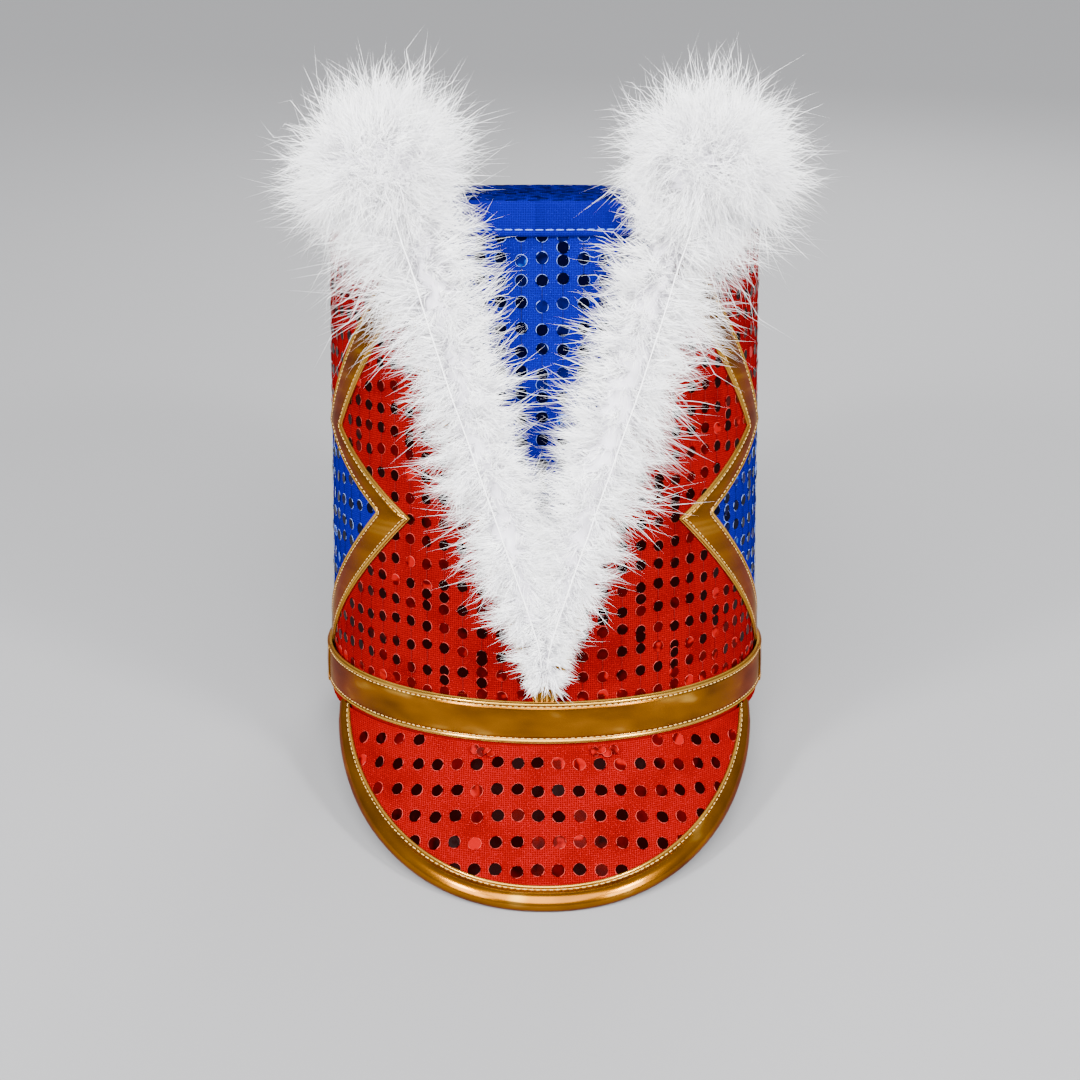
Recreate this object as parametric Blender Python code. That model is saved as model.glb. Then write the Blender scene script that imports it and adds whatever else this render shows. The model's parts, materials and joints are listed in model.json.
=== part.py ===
"""Majorette hat: a stiff round crown in sequin cloth, with gold trims, a peak and two down boas.

The hat is drawn upright about its own axis, with the crown's foot at height zero and the front
towards -Y. A point on the crown is given by its angle from the front (degrees, positive to the
right), its height and its distance outside the cloth. The empty "hat" then tips the whole hat back
until it rests on the tip of its peak and on the back of its lower rim.
"""

import math
import random

import bmesh
import bpy
import numpy as np
from mathutils import Matrix, Vector

# Crown, in metres. The radii are those of the cloth's outer face.
CROWN_FOOT_RADIUS = 0.0910
CROWN_TOP_RADIUS = 0.0869
CROWN_HEIGHT = 0.2070
WALL = 0.0022
GAP = 0.0003
FACET_DEG = 6.0
SMOOTH_DEG = 35.0

# Crown top and the plain band round its edge.
TOP_THICKNESS = 0.0023
TOP_DOME = 0.0025
TOP_RINGS = (1.0, 0.7, 0.35)
BAND_FOOT = 0.1951
BAND_THICKNESS = 0.0012
BAND_ROUND = 0.0006

# Seams between the wall pieces, half of the gap on each side.
SEAM_HALF_DEG = 0.25
SEAM_HALF = 0.0002
RED_TIP_DROP = 0.0010

# Centre of the V tape's right leg: angle in degrees, height in metres.
V_LINE = (
    (1.1, 0.0407),
    (6.9, 0.0734),
    (16.3, 0.1139),
    (27.6, 0.1625),
    (34.3, 0.1854),
    (39.8, 0.2044),
)
V_WALL_APEX = 0.0370
V_TAPE_HALF_DEG = 5.8
V_TAPE_NOTCH = 0.0672
V_TAPE_TAIL = ((1.2, 0.0120), (2.8, 0.0215))
V_TAPE_BENDS = (0.0407, 0.0734, 0.1139, 0.1625, 0.1854)

# Inner edge of the right zigzag tape below the V: angle in degrees, height in metres.
ZIGZAG_BENDS = (
    (65.4, 0.1176),
    (35.0, 0.0879),
    (79.0, 0.0232),
)
ZIGZAG_WIDTH_DEG = 11.8
ZIGZAG_INNER_START = 0.1720
ZIGZAG_OUTER_START = 0.1849
ZIGZAG_END = (85.9, 0.0130)
ZIGZAG_WALL_END = (88.0, 0.0003)
ZIGZAG_MEETS_V = (34.3, 0.1854)
TAPE_THICKNESS = 0.0010

# Gold strap, in a front and a rear length.
STRAP_FOOT = 0.0040
STRAP_HEIGHT = 0.0166
STRAP_OFFSET = 0.0016
STRAP_THICKNESS = 0.0012
STRAP_BACK_THICKNESS = 0.0017
STRAP_SEAM_DEG = 77.0
STRAP_SEAM_GAP_DEG = 0.3

# Red cloth folded round the crown's lower edge.
BINDING_THICKNESS = 0.0010
BINDING_OUTER_TOP = 0.0090
BINDING_INNER_TOP = 0.0080
BINDING_FOOT = -0.0012
BINDING_ROUND = 0.0007

# Peak: a stiff sheet drawn by lines that all slope forwards and down at the same angle.
PEAK_SLOPE_DEG = 45.0
PEAK_HALF_WIDTH = 0.0825
PEAK_LENGTH = 0.0622
PEAK_ROUNDNESS = 2.33
PEAK_ROOT_HEIGHT = 0.0022
PEAK_THICKNESS = 0.0024
PEAK_INTO_CROWN = 0.0040
PEAK_END_DEG = 5.0
PEAK_STATIONS = 29
PEAK_ROWS = 3

# Section of the rolled edge: distance beyond the sheet's edge and height over its middle.
ROLL_SECTION = (
    (-0.0065, 0.00155),
    (-0.0062, 0.0022),
    (-0.0038, 0.0028),
    (-0.0008, 0.0027),
    (0.0014, 0.0018),
    (0.0023, 0.0),
    (0.0014, -0.0018),
    (-0.0008, -0.0027),
    (-0.0038, -0.0028),
    (-0.0062, -0.0022),
    (-0.0065, -0.00155),
    (0.00035, -0.00155),
    (0.00035, 0.00155),
)

# Core of the right boa: angle in degrees, height in metres.
BOA_LINE = (
    (3.2, 0.0320),
    (4.4, 0.0620),
    (8.6, 0.0870),
    (15.0, 0.1200),
    (25.3, 0.1680),
    (32.5, 0.1960),
)
BOA_CORE_RADIUS = 0.0085
BOA_CORE_OFFSET = 0.0100
BOA_STATIONS = 17
BOA_SIDES = 8
BOA_REACH_SIDE = 0.0230
BOA_REACH_OUT = 0.0190
BOA_TAIL_REACH = 0.0100
BOA_END_SHRINK = 0.6
BOA_LOCK_TAPER = 0.70
BOA_SEED = 7
LOCK_ARC_DEG = 115.0
LOCK_LOWEST = 0.0035
LOCK_JITTER = 0.0026
LOCK_WAIST = 0.55

# Puffs at the top ends of the boas.
PUFF_ANGLE_DEG = 39.4
PUFF_HEIGHT = 0.2228
PUFF_OFFSET = 0.0100
PUFF_CORE_RADIUS = 0.0225
PUFF_RADIUS = 0.0355
PUFF_JITTER_SHARE = 0.7
PUFF_LOCK_TAPER = 0.74
PUFF_SEED = 11
NECK_HEIGHT = 0.1975

# Room kept between the feathers and what they lie on.
FEATHER_OFFSET = 0.0018
FEATHER_TOP = 0.2101

CUTTER_REACH = 0.150
CUTTER_CORE_SHARE = 0.5
HALF_TURN_DEG = 180.0
MM_PER_M = 1000.0
PATTERN_SNAP = 0.0001
SETTLE_ROUNDS = 8

# Colour, roughness and metallic value of each finish.
FINISHES = {
    "red_sequin": ((0.52, 0.002, 0.004, 1.0), 0.45, 0.0),
    "blue_sequin": ((0.0, 0.022, 0.50, 1.0), 0.45, 0.0),
    "blue_cloth": ((0.0, 0.030, 0.42, 1.0), 0.65, 0.0),
    "red_cloth": ((0.42, 0.002, 0.004, 1.0), 0.70, 0.0),
    "gold_vinyl": ((0.50, 0.22, 0.03, 1.0), 0.30, 0.75),
    "white_down": ((0.86, 0.86, 0.88, 1.0), 0.90, 0.0),
}


def clear_scene():
    for old in list(bpy.data.objects):
        bpy.data.objects.remove(old, do_unlink=True)


def finish(slot, node):
    """A material for one piece, from the table of finishes."""
    colour, roughness, metallic = FINISHES[slot]
    material = bpy.data.materials.new(node + "_" + slot)
    material.use_nodes = True
    shader = material.node_tree.nodes["Principled BSDF"]
    shader.inputs["Base Color"].default_value = colour
    shader.inputs["Roughness"].default_value = roughness
    shader.inputs["Metallic"].default_value = metallic
    material.diffuse_color = colour
    return material


def add_solid(name, bm, hat):
    """Turn a bmesh into a named object, carried by the hat's empty."""
    bmesh.ops.recalc_face_normals(bm, faces=bm.faces)
    mesh = bpy.data.meshes.new(name)
    bm.to_mesh(mesh)
    bm.free()
    solid = bpy.data.objects.new(name, mesh)
    bpy.context.scene.collection.objects.link(solid)
    solid.parent = hat
    return solid


def add_piece(name, bm, slot, hat):
    """A sub-part of the hat with its own material."""
    piece = add_solid(name, bm, hat)
    piece.data.materials.append(finish(slot, name))
    return piece


def add_cutter(name, bm, hat):
    """A guide solid that only cuts other pieces."""
    cutter = add_solid(name, bm, hat)
    cutter.hide_render = True
    cutter.display_type = "WIRE"
    return cutter


def cut_with(piece, cutter):
    cut = piece.modifiers.new(cutter.name, "BOOLEAN")
    cut.operation = "DIFFERENCE"
    cut.solver = "EXACT"
    cut.object = cutter


def crown_radius(height):
    share = height / CROWN_HEIGHT
    return CROWN_FOOT_RADIUS + (CROWN_TOP_RADIUS - CROWN_FOOT_RADIUS) * share


def crown_point(angle_deg, height, offset):
    """The point at this angle and height, this far outside the crown's cloth."""
    radius = crown_radius(height) + offset
    angle = math.radians(angle_deg)
    return Vector((radius * math.sin(angle), -radius * math.cos(angle), height))


def v_angle(height):
    """Angle of the V tape's centre at a height."""
    angles = [row[0] for row in V_LINE]
    heights = [row[1] for row in V_LINE]
    return float(np.interp(height, heights, angles))


def mirrored(outline):
    """The same points on the other side of the front's centre line, in reverse order."""
    return [(-angle, height) for angle, height in reversed(outline)]


def behind(outline):
    """The same points on the left side, counted on past the back of the crown."""
    full_turn = 2.0 * HALF_TURN_DEG
    return [(full_turn - angle, height) for angle, height in reversed(outline)]


def wrapped_panel(name, outline, offset, thickness, slot, hat):
    """A flat pattern of (angle, height) points, cut into facets and wrapped round the crown."""
    bm = bmesh.new()
    corners = [bm.verts.new((angle, height * MM_PER_M, 0.0)) for angle, height in outline]
    bm.faces.new(corners)
    first = math.floor(min(angle for angle, height in outline) / FACET_DEG) + 1
    last = math.ceil(max(angle for angle, height in outline) / FACET_DEG)
    for step in range(first, last):
        everything = bm.verts[:] + bm.edges[:] + bm.faces[:]
        bmesh.ops.bisect_plane(
            bm,
            geom=everything,
            dist=PATTERN_SNAP,
            plane_co=(step * FACET_DEG, 0.0, 0.0),
            plane_no=(1.0, 0.0, 0.0),
        )
    bmesh.ops.triangulate(bm, faces=bm.faces[:])
    raised = bmesh.ops.extrude_face_region(bm, geom=bm.faces[:], use_keep_orig=True)
    for item in raised["geom"]:
        if isinstance(item, bmesh.types.BMVert):
            item.co.z = thickness
    for vert in bm.verts:
        vert.co = crown_point(vert.co.x, vert.co.y / MM_PER_M, offset + vert.co.z)
    return add_piece(name, bm, slot, hat)


def lathe(profile, on_axis=False):
    """Carry a closed profile of (radius, height) points round the hat's axis."""
    bm = bmesh.new()
    sides = round(2.0 * HALF_TURN_DEG / FACET_DEG)
    rings = []
    for side in range(sides):
        angle = math.radians(side * FACET_DEG)
        ring = []
        for radius, height in profile:
            place = (radius * math.sin(angle), -radius * math.cos(angle), height)
            ring.append(bm.verts.new(place))
        rings.append(ring)
    spans = len(profile) - 1 if on_axis else len(profile)
    for side in range(sides):
        here = rings[side]
        there = rings[(side + 1) % sides]
        for k in range(spans):
            after = (k + 1) % len(profile)
            bm.faces.new((here[k], here[after], there[after], there[k]))
    if on_axis:
        bm.faces.new([ring[0] for ring in rings])
        bm.faces.new([ring[-1] for ring in rings])
    return bm


def make_walls(hat):
    """The four sequin wall pieces of the crown, which meet under the tapes."""
    top = CROWN_HEIGHT - TOP_THICKNESS - GAP
    seam = SEAM_HALF_DEG
    half_tape = ZIGZAG_WIDTH_DEG / 2.0
    centre = [(angle + half_tape, height) for angle, height in ZIGZAG_BENDS]
    outer_corner, inner_corner, strap_corner = centre
    meet_angle, meet_height = ZIGZAG_MEETS_V

    blue_right = [(v_angle(h) - seam, h) for h in V_TAPE_BENDS]
    blue_right.append((v_angle(top) - seam, top))
    front_blue = [(0.0, V_WALL_APEX)] + blue_right + mirrored(blue_right)
    wrapped_panel("crown_front_blue", front_blue, -WALL, WALL, "blue_sequin", hat)

    tip_height = meet_height - RED_TIP_DROP
    red_right = [(0.0, V_WALL_APEX - 2.0 * GAP - SEAM_HALF)]
    red_right += [(v_angle(h) + seam, h) for h in V_TAPE_BENDS[:-1]]
    red_right.append((v_angle(tip_height) + seam, tip_height))
    red_right += [(angle - seam, height) for angle, height in centre]
    red_right.append((ZIGZAG_WALL_END[0] - seam, ZIGZAG_WALL_END[1]))
    front_red = red_right + mirrored(red_right[1:])
    wrapped_panel("crown_front_red", front_red, -WALL, WALL, "red_sequin", hat)

    upper = [
        (v_angle(top) + seam, top),
        (meet_angle + seam, meet_height),
        (outer_corner[0] + seam, outer_corner[1] + SEAM_HALF),
    ]
    wrapped_panel("crown_side_red", upper + behind(upper), -WALL, WALL, "red_sequin", hat)

    lower = [
        (outer_corner[0] + seam, outer_corner[1] - SEAM_HALF),
        (inner_corner[0] + seam, inner_corner[1]),
        (strap_corner[0] + seam, strap_corner[1]),
        (ZIGZAG_WALL_END[0] + seam, ZIGZAG_WALL_END[1]),
    ]
    wrapped_panel("crown_side_blue", lower + behind(lower), -WALL, WALL, "blue_sequin", hat)


def make_top(hat):
    """The slightly domed top, and the plain band round its edge."""
    rim = crown_radius(CROWN_HEIGHT)
    under = CROWN_HEIGHT - TOP_THICKNESS
    profile = []
    for share in reversed(TOP_RINGS):
        profile.append((rim * share, CROWN_HEIGHT + TOP_DOME * (1.0 - share * share)))
    profile.append((rim, under))
    profile.append((rim * TOP_RINGS[-1], under))
    add_piece("crown_top", lathe(profile, on_axis=True), "blue_sequin", hat)

    inner = crown_radius(BAND_FOOT) + GAP
    inner_top = crown_radius(CROWN_HEIGHT) + GAP
    band = [
        (inner, BAND_FOOT),
        (inner + BAND_THICKNESS, BAND_FOOT),
        (inner_top + BAND_THICKNESS, CROWN_HEIGHT - BAND_ROUND),
        (inner_top + BAND_THICKNESS * 0.5, CROWN_HEIGHT + GAP),
        (inner_top, CROWN_HEIGHT + GAP),
    ]
    add_piece("top_band", lathe(band), "blue_cloth", hat)


def make_base_binding(hat):
    """A channel of folded cloth round the crown's lower edge."""
    foot = CROWN_FOOT_RADIUS
    inner_face = foot - WALL - GAP
    outer_face = foot + GAP
    inside = inner_face - BINDING_THICKNESS
    outside = outer_face + BINDING_THICKNESS
    profile = [
        (outer_face, BINDING_OUTER_TOP),
        (outside, BINDING_OUTER_TOP),
        (outside, BINDING_FOOT + BINDING_ROUND),
        (outside - BINDING_ROUND, BINDING_FOOT),
        (inside + BINDING_ROUND, BINDING_FOOT),
        (inside, BINDING_FOOT + BINDING_ROUND),
        (inside, BINDING_INNER_TOP),
        (inner_face, BINDING_INNER_TOP),
        (inner_face, 0.0),
        (outer_face, 0.0),
    ]
    return add_piece("base_binding", lathe(profile), "red_cloth", hat)


def make_tapes(hat):
    """The gold V tape and the two gold zigzag tapes."""
    band_clear = BAND_FOOT - GAP
    heights = list(V_TAPE_BENDS) + [band_clear]
    outer = [(v_angle(h) + V_TAPE_HALF_DEG, h) for h in heights]
    inner = [(v_angle(h) - V_TAPE_HALF_DEG, h) for h in reversed(heights[1:])]
    right = list(V_TAPE_TAIL) + outer + inner
    outline = right + [(0.0, V_TAPE_NOTCH)] + mirrored(right)
    wrapped_panel("v_trim", outline, GAP, TAPE_THICKNESS, "gold_vinyl", hat)

    clear_deg = V_TAPE_HALF_DEG + SEAM_HALF_DEG
    inner_edge = [(v_angle(ZIGZAG_INNER_START) + clear_deg, ZIGZAG_INNER_START)]
    inner_edge += list(ZIGZAG_BENDS)
    inner_edge.append(ZIGZAG_END)
    outer_edge = [(v_angle(ZIGZAG_OUTER_START) + clear_deg, ZIGZAG_OUTER_START)]
    for angle, height in inner_edge[1:]:
        outer_edge.append((angle + ZIGZAG_WIDTH_DEG, height))
    zigzag = inner_edge + outer_edge[::-1]
    wrapped_panel("zigzag_trim_right", zigzag, GAP, TAPE_THICKNESS, "gold_vinyl", hat)
    wrapped_panel("zigzag_trim_left", mirrored(zigzag), GAP, TAPE_THICKNESS, "gold_vinyl", hat)


def make_strap(hat):
    """The gold strap: its front length, and its rear length round the back."""
    top = STRAP_FOOT + STRAP_HEIGHT
    side = STRAP_SEAM_DEG
    front = [(-side, STRAP_FOOT), (side, STRAP_FOOT), (side, top), (-side, top)]
    wrapped_panel("strap_front", front, STRAP_OFFSET, STRAP_THICKNESS, "gold_vinyl", hat)

    start = side + STRAP_SEAM_GAP_DEG
    end = 2.0 * HALF_TURN_DEG - start
    rear = [(start, STRAP_FOOT), (end, STRAP_FOOT), (end, top), (start, top)]
    wrapped_panel("strap_back", rear, STRAP_OFFSET, STRAP_BACK_THICKNESS, "gold_vinyl", hat)


def peak_root_radius():
    """Radius at which the peak meets the crown, clear of the folded binding."""
    return CROWN_FOOT_RADIUS + 2.0 * GAP + BINDING_THICKNESS


def peak_middle(x, run):
    """The middle of the peak's sheet, this far across and this far down its slope."""
    slope = math.radians(PEAK_SLOPE_DEG)
    radius = peak_root_radius()
    root = -math.sqrt(radius * radius - x * x)
    drop = PEAK_ROOT_HEIGHT - run * math.sin(slope)
    return Vector((x, root - run * math.cos(slope), drop))


def peak_normal(x):
    """The direction square to the peak's upper face."""
    slope = math.radians(PEAK_SLOPE_DEG)
    radius = peak_root_radius()
    bend = x / math.sqrt(radius * radius - x * x)
    return Vector((bend * math.sin(slope), -math.sin(slope), math.cos(slope))).normalized()


def peak_edge():
    """Stations (across, run) along the sheet's edge: a half oval a little fuller than an ellipse."""
    power = 2.0 / PEAK_ROUNDNESS
    stations = []
    for step in range(PEAK_STATIONS + 1):
        share = step / PEAK_STATIONS
        turn = math.radians(PEAK_END_DEG + (HALF_TURN_DEG - 2.0 * PEAK_END_DEG) * share)
        across = -math.copysign(abs(math.cos(turn)) ** power, math.cos(turn))
        run = math.sin(turn) ** power
        stations.append((PEAK_HALF_WIDTH * across, PEAK_LENGTH * run))
    return stations


def make_peak_sheet(hat):
    bm = bmesh.new()
    half = PEAK_THICKNESS / 2.0
    layers = []
    for side in (half, -half):
        columns = []
        for x, reach in peak_edge():
            column = []
            for row in range(PEAK_ROWS + 1):
                run = -PEAK_INTO_CROWN + (reach + PEAK_INTO_CROWN) * row / PEAK_ROWS
                column.append(bm.verts.new(peak_middle(x, run) + peak_normal(x) * side))
            columns.append(column)
        layers.append(columns)
    upper, lower = layers
    for i in range(PEAK_STATIONS):
        for columns in layers:
            for j in range(PEAK_ROWS):
                a, b = columns[i], columns[i + 1]
                bm.faces.new((a[j], b[j], b[j + 1], a[j + 1]))
        for j in (0, PEAK_ROWS):
            bm.faces.new((upper[i][j], upper[i + 1][j], lower[i + 1][j], lower[i][j]))
    for i in (0, PEAK_STATIONS):
        for j in range(PEAK_ROWS):
            bm.faces.new((upper[i][j], upper[i][j + 1], lower[i][j + 1], lower[i][j]))
    bmesh.ops.triangulate(bm, faces=bm.faces[:])
    return add_piece("peak", bm, "red_sequin", hat)


def make_peak_roll(hat):
    """The rolled edge: a slotted section carried along the sheet's edge, which lies in the slot."""
    slope = math.radians(PEAK_SLOPE_DEG)
    edge = peak_edge()
    path = [(edge[0][0], -PEAK_INTO_CROWN)] + edge + [(edge[-1][0], -PEAK_INTO_CROWN)]
    places = [peak_middle(x, run) for x, run in path]
    bm = bmesh.new()
    rings = []
    for i, (x, run) in enumerate(path):
        before = places[max(i - 1, 0)]
        after = places[min(i + 1, len(places) - 1)]
        along = (after - before).normalized()
        outward = along.cross(peak_normal(x)).normalized()
        across_step = outward.x
        run_step = -outward.z / math.sin(slope)
        ring = []
        for beyond, over in ROLL_SECTION:
            px = x + beyond * across_step
            foot = peak_middle(px, run + beyond * run_step)
            ring.append(bm.verts.new(foot + peak_normal(px) * over))
        rings.append(ring)
    count = len(ROLL_SECTION)
    for here, there in zip(rings, rings[1:]):
        for k in range(count):
            after = (k + 1) % count
            bm.faces.new((here[k], here[after], there[after], there[k]))
    bm.faces.new(rings[0])
    bm.faces.new(rings[-1])
    bmesh.ops.triangulate(bm, faces=bm.faces[:])
    return add_piece("peak_binding", bm, "gold_vinyl", hat)


def make_peak(hat):
    """The peak's sheet and its rolled edge, both cut back to the crown and the strap."""
    sheet = make_peak_sheet(hat)
    roll = make_peak_roll(hat)
    radius = peak_root_radius()
    core = radius * CUTTER_CORE_SHARE
    under_strap = STRAP_FOOT - GAP
    profile = [
        (core, -CUTTER_REACH),
        (radius, -CUTTER_REACH),
        (radius, under_strap),
        (CUTTER_REACH, under_strap),
        (CUTTER_REACH, BAND_FOOT),
        (core, BAND_FOOT),
    ]
    cutter = add_cutter("cut_peak_root", lathe(profile, on_axis=True), hat)
    cut_with(sheet, cutter)
    cut_with(roll, cutter)
    return roll


def raise_lock(bm, face, tip, taper):
    """Draw one face out into a tapering lock of down that ends at the tip."""
    base = face.calc_center_median()
    grown = bmesh.ops.extrude_discrete_faces(bm, faces=[face])["faces"][0]
    waist = base.lerp(tip, LOCK_WAIST)
    for vert in grown.verts:
        vert.co = waist + (vert.co - base) * taper
    end = bmesh.ops.poke(bm, faces=[grown])["verts"][0]
    end.co = tip


def lifted(tip):
    """Keep a lock's tip clear of the crown that it lies on."""
    least = crown_radius(tip.z) + LOCK_LOWEST
    reach = math.hypot(tip.x, tip.y)
    if tip.z > CROWN_HEIGHT or reach >= least:
        return tip
    return Vector((tip.x * least / reach, tip.y * least / reach, tip.z))


def make_boa(name, side, hat):
    """One boa: a round core along its line, with locks of down on its free sides."""
    rng = random.Random(BOA_SEED)
    angles = [row[0] for row in BOA_LINE]
    heights = [row[1] for row in BOA_LINE]
    centres = []
    for step in range(BOA_STATIONS + 1):
        height = heights[0] + (heights[-1] - heights[0]) * step / BOA_STATIONS
        angle = float(np.interp(height, heights, angles))
        centres.append(crown_point(side * angle, height, BOA_CORE_OFFSET))

    bm = bmesh.new()
    rings = []
    frames = []
    for i, centre in enumerate(centres):
        before = centres[max(i - 1, 0)]
        after = centres[min(i + 1, BOA_STATIONS)]
        along = (after - before).normalized()
        out = Vector((centre.x, centre.y, 0.0)).normalized()
        across = along.cross(out).normalized() * side
        out = (out - along * out.dot(along)).normalized()
        frames.append((along, out, across))
        radius = BOA_CORE_RADIUS * (BOA_END_SHRINK if i == 0 else 1.0)
        ring = []
        for j in range(BOA_SIDES):
            turn = 2.0 * math.pi * j / BOA_SIDES
            spoke = out * math.cos(turn) + across * math.sin(turn)
            ring.append(bm.verts.new(centre + spoke * radius))
        rings.append(ring)

    jobs = []
    for i in range(BOA_STATIONS):
        along, out, across = frames[i]
        middle = (centres[i] + centres[i + 1]) / 2.0
        for j in range(BOA_SIDES):
            after = (j + 1) % BOA_SIDES
            corners = (rings[i][j], rings[i][after], rings[i + 1][after], rings[i + 1][j])
            face = bm.faces.new(corners)
            turn = 2.0 * math.pi * (j + 0.5) / BOA_SIDES
            wander = [rng.uniform(-LOCK_JITTER, LOCK_JITTER) for axis in range(3)]
            if math.degrees(math.acos(math.cos(turn))) < LOCK_ARC_DEG:
                sideways = across * math.sin(turn) * BOA_REACH_SIDE
                outwards = out * math.cos(turn) * BOA_REACH_OUT
                tip = middle + sideways + outwards
                tip += along * wander[0] + across * wander[1] + out * wander[2] / 2.0
                jobs.append((face, lifted(tip)))
    tail = bm.faces.new(rings[0])
    bm.faces.new(rings[-1])
    jobs.append((tail, centres[0] - frames[0][0] * BOA_TAIL_REACH))
    for face, tip in jobs:
        raise_lock(bm, face, tip, BOA_LOCK_TAPER)
    return add_piece(name, bm, "white_down", hat)


def make_puff(name, side, hat):
    """One bunched end: a round core with locks of down all over its free side."""
    rng = random.Random(PUFF_SEED)
    centre = crown_point(PUFF_ANGLE_DEG, PUFF_HEIGHT, PUFF_OFFSET)
    bm = bmesh.new()
    bmesh.ops.create_icosphere(bm, subdivisions=2, radius=PUFF_CORE_RADIUS)
    bmesh.ops.translate(bm, verts=bm.verts, vec=centre)
    for face in bm.faces[:]:
        away = (face.calc_center_median() - centre).normalized()
        reach = PUFF_RADIUS + rng.uniform(-LOCK_JITTER, LOCK_JITTER) * PUFF_JITTER_SHARE
        tip = centre + away * reach
        inside = math.hypot(tip.x, tip.y) < crown_radius(tip.z) and tip.z < CROWN_HEIGHT
        if not inside:
            raise_lock(bm, face, tip, PUFF_LOCK_TAPER)
    if side < 0.0:
        for vert in bm.verts:
            vert.co.x = -vert.co.x
    return add_piece(name, bm, "white_down", hat)


def add_box_cutter(name, low, high, hat):
    """A box from its lowest corner to its highest, which only cuts."""
    bm = bmesh.new()
    bmesh.ops.create_cube(bm, size=1.0)
    bmesh.ops.scale(bm, verts=bm.verts, vec=Vector(high) - Vector(low))
    bmesh.ops.translate(bm, verts=bm.verts, vec=(Vector(high) + Vector(low)) / 2.0)
    return add_cutter(name, bm, hat)


def make_feathers(hat):
    """Both boas and both puffs, cut back to the crown, to each other and to the strap."""
    foot = STRAP_FOOT + STRAP_HEIGHT + 2.0 * GAP
    core = CROWN_TOP_RADIUS * CUTTER_CORE_SHARE
    profile = [
        (core, -CUTTER_REACH),
        (CUTTER_REACH, -CUTTER_REACH),
        (CUTTER_REACH, foot),
        (crown_radius(foot) + FEATHER_OFFSET, foot),
        (crown_radius(FEATHER_TOP) + FEATHER_OFFSET, FEATHER_TOP),
        (core, FEATHER_TOP),
    ]
    crown_cutter = add_cutter("cut_feather_bed", lathe(profile, on_axis=True), hat)
    reach = CUTTER_REACH
    lowest = (-reach, -reach, -reach)
    highest = (reach, reach, 2.0 * reach)
    above = add_box_cutter("cut_above_neck", (-reach, -reach, NECK_HEIGHT - GAP), highest, hat)
    below = add_box_cutter("cut_below_neck", lowest, (reach, reach, NECK_HEIGHT + GAP), hat)
    for word, side in (("left", -1.0), ("right", 1.0)):
        boa = make_boa("boa_" + word, side, hat)
        far_half = (lowest, (GAP, reach, 2.0 * reach))
        if side < 0.0:
            far_half = ((-GAP, -reach, -reach), highest)
        middle = add_box_cutter("cut_middle_" + word, *far_half, hat)
        for cutter in (crown_cutter, above, middle):
            cut_with(boa, cutter)
        puff = make_puff("puff_" + word, side, hat)
        for cutter in (crown_cutter, below):
            cut_with(puff, cutter)


def lowest_when_tipped(piece, tilt):
    """The point of a piece that is lowest once the hat is tipped back."""
    turn = Matrix.Rotation(-tilt, 3, "X")
    return min((turn @ vert.co for vert in piece.data.vertices), key=lambda place: place.z)


def resting_tilt(front, rear):
    """The angle at which the lowest points of the front and rear pieces lie level."""
    tilt = 0.0
    for step in range(SETTLE_ROUNDS):
        back = Matrix.Rotation(tilt, 3, "X")
        tip = back @ lowest_when_tipped(front, tilt)
        heel = back @ lowest_when_tipped(rear, tilt)
        tilt = math.atan2(heel.z - tip.z, heel.y - tip.y)
    return tilt


def set_down(hat, front, rear):
    """Tip the hat back until it rests, and centre it over the origin."""
    tilt = resting_tilt(front, rear)
    turn = Matrix.Rotation(-tilt, 3, "X")
    placed = []
    for piece in hat.children:
        if not piece.hide_render:
            placed += [turn @ vert.co for vert in piece.data.vertices]
    lows = min(place.y for place in placed)
    highs = max(place.y for place in placed)
    floor = min((turn @ vert.co).z for vert in front.data.vertices)
    hat.rotation_euler = (-tilt, 0.0, 0.0)
    hat.location = (0.0, -(lows + highs) / 2.0, -floor)


def main():
    clear_scene()
    hat = bpy.data.objects.new("hat", None)
    bpy.context.scene.collection.objects.link(hat)
    make_walls(hat)
    make_top(hat)
    rear = make_base_binding(hat)
    make_tapes(hat)
    make_strap(hat)
    front = make_peak(hat)
    make_feathers(hat)
    set_down(hat, front, rear)
    for piece in hat.children:
        if piece.type == "MESH" and not piece.hide_render:
            piece.data.shade_smooth()
            piece.data.set_sharp_from_angle(angle=math.radians(SMOOTH_DEG))


main()
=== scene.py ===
# Majorette hat: the finish of every surface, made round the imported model.
import json
import math

import bpy
import numpy as np
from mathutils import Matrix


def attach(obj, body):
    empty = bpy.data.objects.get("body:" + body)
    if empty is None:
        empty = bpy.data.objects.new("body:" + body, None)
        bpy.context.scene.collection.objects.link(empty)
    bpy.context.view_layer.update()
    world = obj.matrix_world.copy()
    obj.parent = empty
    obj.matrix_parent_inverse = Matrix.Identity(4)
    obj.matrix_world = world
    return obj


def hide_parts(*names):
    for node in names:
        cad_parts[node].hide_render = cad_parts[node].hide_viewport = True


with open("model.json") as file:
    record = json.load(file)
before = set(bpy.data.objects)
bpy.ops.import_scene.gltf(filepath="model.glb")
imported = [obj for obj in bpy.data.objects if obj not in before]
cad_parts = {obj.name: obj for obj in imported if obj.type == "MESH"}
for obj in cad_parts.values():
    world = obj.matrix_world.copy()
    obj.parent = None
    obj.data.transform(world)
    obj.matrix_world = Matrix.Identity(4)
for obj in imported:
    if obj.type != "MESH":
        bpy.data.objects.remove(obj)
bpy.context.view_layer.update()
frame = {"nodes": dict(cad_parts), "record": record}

print("frame loaded:", len(frame["nodes"]), "nodes")

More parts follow.
